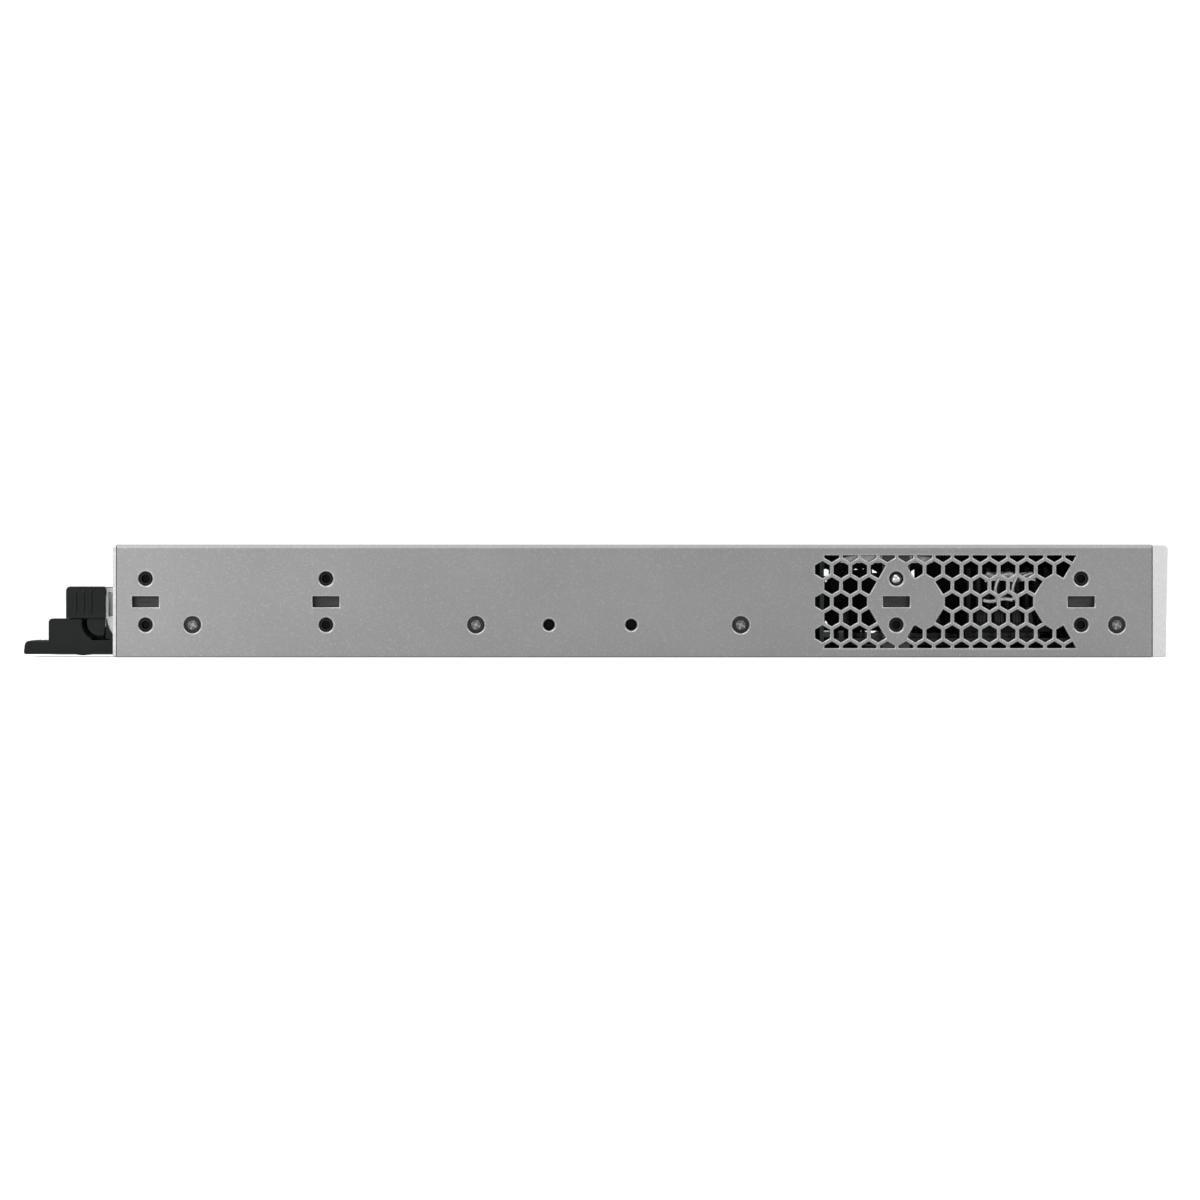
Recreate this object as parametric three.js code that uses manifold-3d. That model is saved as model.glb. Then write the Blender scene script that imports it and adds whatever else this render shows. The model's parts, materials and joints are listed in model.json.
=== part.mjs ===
// Rackmount network switch, one rack unit high, with copper ports, a plug-in uplink module, three fan modules and two power supplies.
// Millimetres, +Z up. The front faces -Y, and the origin is the centre of the footprint, on the surface the switch stands on.
import * as THREE from "three";
import { mergeVertices } from "three/addons/utils/BufferGeometryUtils.js";
import Module from "manifold-3d";

const wasm = await Module();
wasm.setup();

// ---------------------------------------------------------------- driving dimensions
const caseWidth = 444;
const caseHeight = 44;
const overallDepth = 447; // bezel face to the end of the power supply handles
const handleReach = 35.5; // handle length behind the rear panel
const bezelDepth = 6;
const coverSheet = 1.0;
const baseSheet = 1.2;
const seam = 0.3; // gap left between pieces that lie against each other

const frontY = -overallDepth / 2;
const rearY = overallDepth / 2 - handleReach;
const panelY = frontY + bezelDepth; // where the bezel ends and the metal case starts
const sideX = caseWidth / 2;
const midZ = 21.7; // height of the row of slots and of the middle row of vent holes

// Rack rail fixings on each side: two tapped holes with a hook slot between them.
const fixingColumns = [
  { y: 175.3, deepEnd: 1 },
  { y: 104.9, deepEnd: 1 },
  { y: -117.6, deepEnd: -1 },
  { y: -189.7, deepEnd: -1 },
];
const fixingHoleZ = [12.7, 30.7];
const fixingSlot = { length: 10.4, height: 4.2 };
const coverScrewY = [157.0, 46.4, -56.9, -203.6];
const earthHoleY = [17.9, -14.2];
const lowRowZ = 12.7; // height of the cover screws and the earth holes

// Honeycomb side vent.
const vent = { pitch: 7.235, flat: 5.7, firstY: -88.8, rows: 3, perRow: 14, halfHeight: 18.05 };

// Bays in the rear panel, from the left end of the case.
const bay = { low: 1.7, high: 41.9 };
const supply = { centres: [-176.5, -90.5], halfWidth: 40.7, bayHalf: 41.5, innerY: -82 };
const fanModule = { centres: [-24.5, 20.5, 65.5], halfWidth: 21, bayHalf: 21.5, innerY: 98 };
const moduleZ = [2.2, 41.4];

// Front layout.
const jackBank = { centres: [-70, 22], columns: 6, pitch: 14, halfWidth: 43, z: [8, 35.6] };
const uplink = { centre: 163, halfWidth: 52.3, z: [4.2, 39.8], depth: 88, cages: 4, cagePitch: 16.5 };

// ---------------------------------------------------------------- materials
function finish(color, roughness, metalness) {
  return new THREE.MeshStandardMaterial({ color, roughness, metalness });
}
const silverPaint = finish(0xa9aaad, 0.45, 0.35);
const paleSilver = finish(0xd4d5d8, 0.4, 0.3);
const zincSteel = finish(0xc3c5c7, 0.35, 0.9);
const blackPlastic = finish(0x1c1e1f, 0.55, 0.0);
const jackPlastic = finish(0x161718, 0.5, 0.0);
const shieldMetal = finish(0xb9bbbd, 0.25, 1.0);
const boardGreen = finish(0x1f4a33, 0.5, 0.0);
const aluminium = finish(0xb4b7ba, 0.4, 0.9);
const darkZinc = finish(0x7d8389, 0.35, 0.9);
const clearPlastic = finish(0xe8f0ee, 0.15, 0.0);

// ---------------------------------------------------------------- solids
// A three.js geometry as a solid that can be joined and cut.
function solidOf(geometry) {
  const plain = geometry.index ? geometry.toNonIndexed() : geometry;
  plain.deleteAttribute("normal");
  plain.deleteAttribute("uv");
  const merged = mergeVertices(plain, 1e-4);
  const corners = merged.index.array;
  const triVerts = [];
  for (let i = 0; i < corners.length; i += 3) {
    const [a, b, c] = corners.slice(i, i + 3);
    if (a !== b && b !== c && c !== a) triVerts.push(a, b, c);
  }
  return new wasm.Manifold(
    new wasm.Mesh({
      numProp: 3,
      vertProperties: merged.attributes.position.array,
      triVerts: new Uint32Array(triVerts),
    }),
  );
}

// A box from [low, high] pairs along X, Y and Z.
function box(x, y, z) {
  const geometry = new THREE.BoxGeometry(x[1] - x[0], y[1] - y[0], z[1] - z[0]);
  geometry.translate((x[0] + x[1]) / 2, (y[0] + y[1]) / 2, (z[0] + z[1]) / 2);
  return solidOf(geometry);
}

// How an outline's two directions and its depth lie in the part, for each direction of extrusion.
const outlineFrames = {
  x: new THREE.Matrix4().makeBasis(
    new THREE.Vector3(0, 1, 0),
    new THREE.Vector3(0, 0, 1),
    new THREE.Vector3(1, 0, 0),
  ),
  y: new THREE.Matrix4().makeBasis(
    new THREE.Vector3(1, 0, 0),
    new THREE.Vector3(0, 0, 1),
    new THREE.Vector3(0, -1, 0),
  ),
  z: new THREE.Matrix4(),
};

// One outline, or several that stay apart, extruded along an axis from one coordinate to another.
// Along x an outline is (y, z), along y it is (x, z), and along z it is (x, y).
function prism(axis, outline, from, to, curveSegments = 4) {
  const geometry = new THREE.ExtrudeGeometry(outline, {
    depth: to - from,
    bevelEnabled: false,
    curveSegments,
  });
  geometry.applyMatrix4(outlineFrames[axis]);
  const start = { x: [from, 0, 0], y: [0, to, 0], z: [0, 0, from] }[axis];
  geometry.translate(...start);
  return solidOf(geometry);
}

// A tapered round bar along an axis, at two coordinates across it in X, Y, Z order.
function cone(axis, across, radiusFrom, radiusTo, from, to, sides = 12) {
  const geometry = new THREE.CylinderGeometry(radiusTo, radiusFrom, to - from, sides);
  const middle = (from + to) / 2;
  if (axis === "x") geometry.rotateZ(-Math.PI / 2).translate(middle, across[0], across[1]);
  if (axis === "y") geometry.translate(across[0], middle, across[1]);
  if (axis === "z") geometry.rotateX(Math.PI / 2).translate(across[0], across[1], middle);
  return solidOf(geometry);
}

function cylinder(axis, across, radius, from, to, sides = 12) {
  return cone(axis, across, radius, radius, from, to, sides);
}

function polygon(points) {
  return new THREE.Shape(points.map(([a, b]) => new THREE.Vector2(a, b)));
}

// A rectangle with round corners.
function roundedRectangle(a, b, radius) {
  const shape = new THREE.Shape();
  shape.moveTo(a[0] + radius, b[0]);
  shape.absarc(a[1] - radius, b[0] + radius, radius, -Math.PI / 2, 0, false);
  shape.absarc(a[1] - radius, b[1] - radius, radius, 0, Math.PI / 2, false);
  shape.absarc(a[0] + radius, b[1] - radius, radius, Math.PI / 2, Math.PI, false);
  shape.absarc(a[0] + radius, b[0] + radius, radius, Math.PI, (3 * Math.PI) / 2, false);
  return shape;
}

function joined(solids) {
  return solids.reduce((sum, solid) => sum.add(solid));
}

function cutBy(solid, cutters) {
  return cutters.reduce((rest, cutter) => rest.subtract(cutter), solid);
}

// A solid as a named mesh.
function piece(name, solid, material) {
  const made = solid.getMesh();
  const geometry = new THREE.BufferGeometry();
  geometry.setAttribute("position", new THREE.BufferAttribute(Float32Array.from(made.vertProperties), 3));
  geometry.setIndex(new THREE.BufferAttribute(Uint32Array.from(made.triVerts), 1));
  geometry.computeVertexNormals();
  const mesh = new THREE.Mesh(geometry, material);
  mesh.name = name;
  return mesh;
}

const acrossCase = [-sideX - 1, sideX + 1];

// ---------------------------------------------------------------- side walls
// The outline of a vent hole that stands on a point.
function hexagon(y, z, flat) {
  const radius = flat / Math.sqrt(3);
  const corners = Array.from({ length: 6 }, (_, i) => {
    const angle = Math.PI / 6 + (i * Math.PI) / 3;
    return [y + radius * Math.cos(angle), z + radius * Math.sin(angle)];
  });
  return polygon(corners);
}

// The plain areas in the honeycomb round the two front fixing columns, as [half width, height] steps.
// Each is a six-sided patch with a wider patch on the side that faces the other column.
function plainPatches() {
  const [middle, front] = [fixingColumns[2].y, fixingColumns[3].y];
  const patch = (y, top, halfTop) => [
    [y + 11.4, midZ + 1.5],
    [y + halfTop, midZ + top],
    [y - halfTop, midZ + top],
    [y - 11.4, midZ + 1.5],
    [y - 11.4, midZ - 1.5],
    [y - halfTop, midZ - top],
    [y + halfTop, midZ - top],
    [y + 11.4, midZ - 1.5],
  ];
  const wing = (y, way) => [
    [y, midZ + 8.8],
    [y + way * 14.6, midZ + 8.8],
    [y + way * 18.8, midZ + 2.2],
    [y + way * 18.8, midZ - 2.2],
    [y + way * 14.6, midZ - 8.8],
    [y, midZ - 8.8],
  ];
  return [patch(middle, 15.5, 3.4), patch(front, 18.5, 1.7), wing(middle, -1), wing(front, 1)];
}

// True if a point is inside an outline, by counting the edges to one side of it.
function inside([a, b], outline) {
  return outline.reduce((odd, [a1, b1], i) => {
    const [a0, b0] = outline[(i + outline.length - 1) % outline.length];
    const crosses = b1 > b !== b0 > b && a < a1 + ((b - b1) * (a0 - a1)) / (b0 - b1);
    return crosses ? !odd : odd;
  }, false);
}

// Everything that the honeycomb removes from a side wall, through both sides of the case.
function ventCut() {
  const patches = plainPatches();
  const holes = [];
  for (let row = -vent.rows; row <= vent.rows; row++) {
    const shift = row % 2 === 0 ? 0 : vent.pitch / 2;
    for (let k = 0; k < vent.perRow; k++) {
      const centre = [vent.firstY - shift - k * vent.pitch, midZ + (row * vent.pitch * Math.sqrt(3)) / 2];
      if (!patches.some((outline) => inside(centre, outline))) holes.push(hexagon(...centre, vent.flat));
    }
  }
  const field = [vent.firstY - vent.perRow * vent.pitch, vent.firstY + vent.pitch];
  const window = box(acrossCase, field, [midZ - vent.halfHeight, midZ + vent.halfHeight]);
  const solidPatches = patches.map((outline) => prism("x", polygon(outline), ...acrossCase));
  return cutBy(prism("x", holes, ...acrossCase).intersect(window), solidPatches);
}

// The folded cover: the top and both visible sides of the case.
function topCover() {
  const outer = 1.8;
  const inner = outer - coverSheet;
  const [bottom, top] = [seam, caseHeight];
  const shape = new THREE.Shape();
  shape.moveTo(-sideX, bottom);
  shape.lineTo(-sideX + coverSheet, bottom);
  shape.absarc(-sideX + outer, top - outer, inner, Math.PI, Math.PI / 2, true);
  shape.absarc(sideX - outer, top - outer, inner, Math.PI / 2, 0, true);
  shape.lineTo(sideX - coverSheet, bottom);
  shape.lineTo(sideX, bottom);
  shape.absarc(sideX - outer, top - outer, outer, 0, Math.PI / 2, false);
  shape.absarc(-sideX + outer, top - outer, outer, Math.PI / 2, Math.PI, false);
  const sheet = prism("y", shape, panelY + seam, rearY - 1.5);
  const holes = [ventCut()];
  for (const column of fixingColumns) {
    for (const z of fixingHoleZ) holes.push(cylinder("x", [column.y, z], 2.7, ...acrossCase, 14));
    const half = fixingSlot.length / 2;
    holes.push(
      box(acrossCase, [column.y - half, column.y + half], [
        midZ - fixingSlot.height / 2,
        midZ + fixingSlot.height / 2,
      ]),
    );
  }
  for (const y of earthHoleY) holes.push(cylinder("x", [y, lowRowZ], 2.2, ...acrossCase, 12));
  for (const y of coverScrewY) {
    holes.push(cone("x", [y, lowRowZ], 3.2, 2.1, -sideX - 0.01, -sideX + coverSheet + 0.01, 14));
    holes.push(cone("x", [y, lowRowZ], 2.1, 3.2, sideX - coverSheet - 0.01, sideX + 0.01, 14));
  }
  return piece("top_cover", cutBy(sheet, holes), silverPaint);
}

// A countersunk screw that holds one side of the cover to the base.
function coverScrew(name, side, y) {
  const head = 1.0;
  const face = sideX - 0.1;
  const solid = cone("x", [y, lowRowZ], 1.85, 2.95, face - head, face, 14).add(
    cylinder("x", [y, lowRowZ], 1.45, face - 3.9, face - head + 0.01, 10),
  );
  const mesh = piece(name, solid, darkZinc);
  if (side < 0) mesh.rotation.z = Math.PI; // turned half round, the screw enters the left side
  if (side < 0) mesh.position.y = 2 * y;
  return mesh;
}

// ---------------------------------------------------------------- base and panels
// The folded base: floor, inner side walls with the rail fixings, and the walls between the bays.
function chassisBase() {
  const outerX = sideX - coverSheet - seam;
  const wallTop = caseHeight - coverSheet - 0.6;
  const [front, rear] = [panelY + seam, rearY - 1.5];
  const wallFront = panelY + 2.1;
  const holes = [
    box(acrossCase, [-112.3, -85.5], [3.2, 40.6]),
    box(acrossCase, [-187.0, -122.9], [3.2, 40.6]),
  ];
  for (const column of fixingColumns) {
    for (const z of fixingHoleZ) holes.push(cylinder("x", [column.y, z], 1.9, ...acrossCase, 10));
  }
  for (const y of [...earthHoleY, ...coverScrewY]) {
    holes.push(cylinder("x", [y, lowRowZ], 1.75, ...acrossCase, 10));
  }
  const walls = [];
  for (const side of [-1, 1]) {
    const wall = [outerX * side, (outerX - baseSheet) * side].sort((a, b) => a - b);
    walls.push(cutBy(box(wall, [wallFront, rear], [0, wallTop]), holes));
  }
  const hooks = [];
  const pockets = [];
  for (const side of [-1, 1]) {
    for (const column of fixingColumns) {
      const half = fixingSlot.length / 2;
      const z = [midZ - fixingSlot.height / 2, midZ + fixingSlot.height / 2];
      const boss = [outerX * side, (outerX - 2.2) * side].sort((a, b) => a - b);
      hooks.push(box(boss, [column.y - half - 1.2, column.y + half + 1.2], [z[0] - 1, z[1] + 1]));
      const shallow = [side * (outerX - 0.5), column.y - column.deepEnd * half];
      const deep = [side * (outerX - 1.7), column.y + column.deepEnd * half];
      const outline = polygon([
        [side * (outerX + 1), shallow[1]],
        shallow,
        deep,
        [side * (outerX + 1), deep[1]],
      ]);
      pockets.push(prism("z", outline, ...z));
    }
  }
  const floor = box([-outerX, outerX], [front, rear], [0, baseSheet]);
  const dividers = [-133.5, -48].map((x) =>
    box([x - 0.5, x + 0.5], [supply.innerY - 2, rear], [baseSheet - 0.1, wallTop]),
  );
  const solid = cutBy(joined([floor, ...walls, ...hooks]), pockets);
  return piece("chassis_base", joined([solid, ...dividers]), zincSteel);
}

const stackPort = { centres: [143, 183], half: [14, 5.2] };
const managementX = 106;

// The rear panel, with a bay for each module and the windows of the rear sockets.
function rearPanel() {
  const outline = roundedRectangle([-sideX + 0.2, sideX - 0.2], [0.2, caseHeight - 0.2], 1);
  const windows = [];
  for (const x of supply.centres) windows.push([x - supply.bayHalf, x + supply.bayHalf, bay.low, bay.high]);
  for (const x of fanModule.centres) {
    windows.push([x - fanModule.bayHalf, x + fanModule.bayHalf, bay.low, bay.high]);
  }
  windows.push([managementX - 8.4, managementX + 8.4, 7.6, 36.0]);
  for (const x of stackPort.centres) {
    windows.push([x - stackPort.half[0] - 0.4, x + stackPort.half[0] + 0.4, midZ - 5.6, midZ + 5.6]);
  }
  for (const x of stackPort.centres) {
    for (let k = -2; k <= 2; k++) windows.push([x + k * 6 - 1.5, x + k * 6 + 1.5, 33, 39]);
  }
  const plate = prism("y", outline, rearY - 1.2, rearY, 3);
  return piece("rear_panel", cutBy(plate, windows.map((window) => windowBox(window, [rearY - 2, rearY + 1]))), zincSteel);
}

// Windows of the front: what shows through the bezel, and the larger cut-out behind each in the front panel.
const frontWindows = {
  banks: jackBank.centres.map((x) => [x - jackBank.halfWidth - 0.5, x + jackBank.halfWidth + 0.5, 7.5, 36.1]),
  uplink: [uplink.centre - 52.9, uplink.centre + 52.9, 3.6, 40.4],
  lamps: [-213.2, -209.8, 12, 33],
  usb: [-194.9, -181.1, 8.4, 14.6],
  vents: [[-172, -120], [72, 103]],
};
const frontVent = { pitch: 10.2, flat: 8.4 };
const modeButton = { x: -188, z: 30, radius: 3 };

function windowBox([x0, x1, z0, z1], y) {
  return box([x0, x1], y, [z0, z1]);
}

function frontPanel() {
  const y = [panelY + 0.6, panelY + 0.6 + baseSheet];
  const through = [y[0] - 1, y[1] + 1];
  const plate = box([-220.4, 220.4], y, [baseSheet + seam, caseHeight - coverSheet - 0.4]);
  const holes = [
    ...frontWindows.banks.map((window) => windowBox(window, through)),
    windowBox(frontWindows.uplink, through),
    windowBox(frontWindows.lamps, through),
    windowBox(frontWindows.usb, through),
    ...frontWindows.vents.map(([x0, x1]) => windowBox([x0, x1, 5.5, 38.5], through)),
    cylinder("y", [modeButton.x, modeButton.z], modeButton.radius + 0.4, ...through, 12),
  ];
  return piece("front_panel", cutBy(plate, holes), zincSteel);
}

// The bezel: a shallow tray with a face that leans back a little towards the bottom.
function frontBezel() {
  const lean = 0.8;
  const shape = new THREE.Shape();
  shape.moveTo(panelY, 0.2);
  shape.lineTo(frontY + lean, 0.2);
  shape.lineTo(frontY, caseHeight - 2);
  shape.absarc(frontY + 1.8, caseHeight - 2, 1.8, Math.PI, Math.PI / 2, true);
  shape.lineTo(panelY, caseHeight - 0.2);
  const endX = sideX - 0.2;
  const body = prism("x", shape, -endX, endX, 3);
  const through = [frontY - 1, panelY + 1];
  const holes = [
    box([-endX + 1.8, endX - 1.8], [frontY + 3, panelY + 1], [2, caseHeight - 2]),
    ...frontWindows.banks.map((window) => windowBox(window, through)),
    windowBox(frontWindows.uplink, through),
    windowBox(frontWindows.lamps, through),
    windowBox(frontWindows.usb, through),
    cylinder("y", [modeButton.x, modeButton.z], modeButton.radius + 0.4, ...through, 12),
  ];
  for (const [x0, x1] of frontWindows.vents) {
    const { pitch, flat } = frontVent;
    const count = Math.floor((x1 - x0 - 2) / pitch);
    const first = (x0 + x1) / 2 - ((count - 1) * pitch) / 2;
    const openings = [];
    for (let row = -1; row <= 1; row++) {
      const shift = row % 2 === 0 ? 0 : pitch / 2;
      const inRow = row % 2 === 0 ? count : count - 1;
      for (let k = 0; k < inRow; k++) {
        const z = midZ + (row * pitch * Math.sqrt(3)) / 2;
        openings.push(hexagon(first + shift + k * pitch, z, flat));
      }
    }
    holes.push(prism("y", openings, ...through));
  }
  for (const side of [-1, 1]) {
    const corner = polygon([
      [side * (endX + 1), frontY - 1],
      [side * (endX + 1), frontY + 0.8],
      [side * endX, frontY + 0.8],
      [side * (endX - 1.8), frontY - 1],
    ]);
    holes.push(prism("z", corner, -1, caseHeight + 1));
  }
  return piece("front_bezel", cutBy(body, holes), paleSilver);
}

// ---------------------------------------------------------------- front controls and ports
// The opening of a copper jack: a wide slot with a notch for the plug's clip, above or below it.
function jackOutline(x, z, up) {
  const steps = [
    [5.9, 3.8],
    [2.8, 3.8],
    [2.8, 6.2],
  ];
  const points = [
    ...steps.map(([a, b]) => [x + a, z + up * b]),
    ...steps.toReversed().map(([a, b]) => [x - a, z + up * b]),
    [x - 5.9, z - up * 3.8],
    [x + 5.9, z - up * 3.8],
  ];
  return polygon(points);
}

const jackMiddle = { low: 15.8, high: 27.8 };

function jackBankBlock(name, centre) {
  const y = [frontY + 1.2, frontY + 34];
  const body = box([centre - jackBank.halfWidth, centre + jackBank.halfWidth], y, jackBank.z);
  const cavities = [];
  for (let k = 0; k < jackBank.columns; k++) {
    const x = centre + (k - (jackBank.columns - 1) / 2) * jackBank.pitch;
    cavities.push(jackOutline(x, jackMiddle.low, -1), jackOutline(x, jackMiddle.high, 1));
  }
  return piece(name, body.subtract(prism("y", cavities, y[0] - 1, y[0] + 13.5)), jackPlastic);
}

function modeButtonPiece() {
  const at = [modeButton.x, modeButton.z];
  const solid = cylinder("y", at, modeButton.radius, frontY + 0.9, panelY + 3.5, 16).add(
    cylinder("y", at, modeButton.radius + 1.2, panelY + 2.3, panelY + 3.5, 16),
  );
  return piece("mode_button", solid, blackPlastic);
}

function statusLightPipe() {
  const [x0, x1, z0, z1] = frontWindows.lamps;
  const stem = box([x0 + 0.4, x1 - 0.4], [frontY + 1.2, panelY + 6], [z0 + 0.4, z1 - 0.4]);
  const foot = box([x0 - 1.5, x1 + 1.5], [panelY + 3, panelY + 7.5], [z0 - 2, z1 + 2]);
  return piece("status_light_pipe", stem.add(foot), clearPlastic);
}

function usbPort() {
  const [x0, x1, z0, z1] = frontWindows.usb;
  const y = [frontY + 1.4, panelY + 11];
  const shell = box([x0 + 0.4, x1 - 0.4], y, [z0 + 0.3, z1 - 0.3]);
  const cavity = box([x0 + 0.9, x1 - 0.9], [y[0] - 1, y[1] - 1], [z0 + 0.8, z1 - 0.8]);
  const tongue = box([x0 + 1.9, x1 - 1.9], [y[0] + 1.5, y[1] - 0.9], [z1 - 3.2, z1 - 1.5]);
  return piece("usb_port", shell.subtract(cavity).add(tongue), shieldMetal);
}

// The uplink module: a front plate on a tray, its board, four cages and two captive screws.
function uplinkModule() {
  const group = new THREE.Group();
  const [x0, x1] = [uplink.centre - uplink.halfWidth, uplink.centre + uplink.halfWidth];
  const plateY = [frontY + 4, frontY + 5.2];
  const backY = frontY + uplink.depth;
  const cagesHalf = (uplink.cages * uplink.cagePitch) / 2;
  const cagesZ = [9.2, 20.8];
  const screwX = [x0 + 8, x1 - 8];
  const screwZ = 30;
  const frame = cutBy(
    joined([
      box([x0, x1], plateY, uplink.z),
      box([x0, x1], [plateY[0], backY], [uplink.z[0], uplink.z[0] + 1]),
      box([x0, x0 + 1], [plateY[0], backY], [uplink.z[0], 14]),
      box([x1 - 1, x1], [plateY[0], backY], [uplink.z[0], 14]),
    ]),
    [
      box(
        [uplink.centre - cagesHalf - 0.4, uplink.centre + cagesHalf + 0.4],
        [plateY[0] - 1, plateY[1] + 1],
        [cagesZ[0] - 0.4, cagesZ[1] + 0.4],
      ),
      ...screwX.map((x) => cylinder("y", [x, screwZ], 2.6, plateY[0] - 1, plateY[1] + 1, 12)),
    ],
  );
  group.add(piece("uplink_frame", frame, zincSteel));
  const board = box([x0 + 2, x1 - 2], [plateY[1] + 1, backY - 1], [6.6, 8.2]);
  const edge = box([uplink.centre - 25, uplink.centre + 25], [backY - 12, backY - 0.5], [8.1, 15]);
  group.add(piece("uplink_board", board.add(edge), boardGreen));
  const cageY = [frontY + 2, frontY + 50];
  const cages = [];
  for (let k = 0; k < uplink.cages; k++) {
    const x = uplink.centre + (k - (uplink.cages - 1) / 2) * uplink.cagePitch;
    cages.push(box([x - 7.1, x + 7.1], [cageY[0] - 1, cageY[1] - 2], [cagesZ[0] + 1.2, cagesZ[1] - 1.2]));
  }
  const block = box([uplink.centre - cagesHalf, uplink.centre + cagesHalf], cageY, cagesZ);
  group.add(piece("uplink_cages", cutBy(block, cages), shieldMetal));
  screwX.forEach((x, i) => {
    const knob = cylinder("y", [x, screwZ], 4, frontY + 0.7, plateY[0] - seam, 16);
    const shank = cylinder("y", [x, screwZ], 2.2, plateY[0] - seam - 0.1, plateY[1] + 8, 10);
    const slot = box([x - 3, x + 3], [frontY, frontY + 1.5], [screwZ - 0.5, screwZ + 0.5]);
    group.add(piece(i === 0 ? "uplink_screw_left" : "uplink_screw_right", knob.add(shank).subtract(slot), darkZinc));
  });
  return group;
}

// ---------------------------------------------------------------- boards and heat sinks inside
const boardZ = [5.8, 7.4];

function mainBoard() {
  const outline = polygon([
    [-214, panelY + 4],
    [106, panelY + 4],
    [106, -124],
    [214, -124],
    [214, 182],
    [92, 182],
    [92, 92],
    [-44, 92],
    [-44, -93],
    [-214, -93],
  ]);
  const chip = box([19, 61], [-66, -24], [boardZ[1] - 0.1, 9.6]);
  const processor = box([-204, -172], [-175, -148], [boardZ[1] - 0.1, 9.6]);
  const socket = box([uplink.centre - 24, uplink.centre + 24], [-123, -115], [boardZ[1] - 0.1, 17]);
  const coils = [-60, -20, 20, 60].map((x) => box([x - 7, x + 7], [-172, -158], [boardZ[1] - 0.1, 17]));
  return piece("main_board", joined([prism("z", outline, ...boardZ), chip, processor, socket, ...coils]), boardGreen);
}

// A finned heat sink: a base plate with upright fins along Y.
function heatSink(name, x, y, z, fins) {
  const step = (x[1] - x[0] - 1.2) / (fins - 1);
  const parts = [box(x, y, [z[0], z[0] + 3])];
  for (let i = 0; i < fins; i++) {
    parts.push(box([x[0] + i * step, x[0] + i * step + 1.2], y, [z[0] + 1, z[1]]));
  }
  return piece(name, joined(parts), aluminium);
}

// The upright board that the power supplies plug into.
function powerMidplane() {
  const y = [supply.innerY - 7.6, supply.innerY - 6];
  const parts = [box([-216, -50], y, [2.6, 40])];
  for (const x of supply.centres) parts.push(box([x - 18, x + 18], [y[1] - 0.1, y[1] + 2.6], [13, 24]));
  return piece("power_midplane", joined(parts), boardGreen);
}

// ---------------------------------------------------------------- rear sockets
// The management jacks: one above the other, facing the rear.
function managementJacks() {
  const y = [rearY - 20, rearY + 0.8];
  const body = box([managementX - 8, managementX + 8], y, [8, 35.6]);
  const cavities = [jackOutline(managementX, jackMiddle.low, -1), jackOutline(managementX, jackMiddle.high, 1)];
  return piece("management_jacks", body.subtract(prism("y", cavities, y[1] - 13.5, y[1] + 1)), jackPlastic);
}

function stackPortShell(name, x) {
  const [halfX, halfZ] = stackPort.half;
  const y = [rearY - 22, rearY + 0.8];
  const shell = box([x - halfX, x + halfX], y, [midZ - halfZ, midZ + halfZ]);
  const cavity = box([x - halfX + 0.8, x + halfX - 0.8], [y[0] + 2, y[1] + 1], [midZ - halfZ + 0.8, midZ + halfZ - 0.8]);
  const tongue = box([x - halfX + 3, x + halfX - 3], [y[0] + 1, y[1] - 3], [midZ - 1, midZ + 1]);
  return piece(name, shell.subtract(cavity).add(tongue), shieldMetal);
}

// A push-in cover over a stacking port: a rim outside and a hollow plug inside the shell.
function stackCover(name, x) {
  const face = box([x - 15.5, x + 15.5], [rearY + 1.1, rearY + 3.2], [midZ - 7, midZ + 7]);
  const plug = box([x - 12.8, x + 12.8], [rearY - 8, rearY + 1.2], [midZ - 4, midZ + 4]);
  const hollow = box([x - 11.6, x + 11.6], [rearY - 9, rearY + 1.0], [midZ - 2.9, midZ + 2.9]);
  return piece(name, face.add(plug).subtract(hollow), blackPlastic);
}

// ---------------------------------------------------------------- fans
const fan = { half: 18.3, bore: 16.9, hub: 8, blades: 7, y: [161, 181] };

// A square fan frame with a motor cup on three struts.
function fanFrame(name) {
  const body = box([-fan.half, fan.half], fan.y, [midZ - fan.half, midZ + fan.half]);
  const bore = cylinder("y", [0, midZ], fan.bore, fan.y[0] - 1, fan.y[1] + 1, 20);
  const cup = cylinder("y", [0, midZ], fan.hub - 0.6, fan.y[0], fan.y[0] + 2, 12);
  const spokes = [0, 1, 2].map((i) => {
    const geometry = new THREE.BoxGeometry(fan.bore + 0.6, 2, 2.2);
    geometry.translate((fan.bore + 0.6) / 2, 0, 0);
    geometry.rotateY((i * 2 * Math.PI) / 3 + Math.PI / 6);
    geometry.translate(0, fan.y[0] + 1, midZ);
    return solidOf(geometry);
  });
  return piece(name, joined([body.subtract(bore), cup, ...spokes]), blackPlastic);
}

function fanRotor(name) {
  const hub = cylinder("y", [0, midZ], fan.hub, fan.y[0] + 2.6, fan.y[1] - 2, 14);
  const blades = [];
  for (let i = 0; i < fan.blades; i++) {
    const geometry = new THREE.BoxGeometry(15.3 - 7.2, 1.1, 12);
    geometry.rotateX(THREE.MathUtils.degToRad(48));
    geometry.translate((15.3 + 7.2) / 2, 0, 0);
    geometry.rotateY((i * 2 * Math.PI) / fan.blades);
    geometry.translate(0, (fan.y[0] + fan.y[1]) / 2 + 0.3, midZ);
    blades.push(solidOf(geometry));
  }
  return piece(name, joined([hub, ...blades]), blackPlastic);
}

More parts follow.
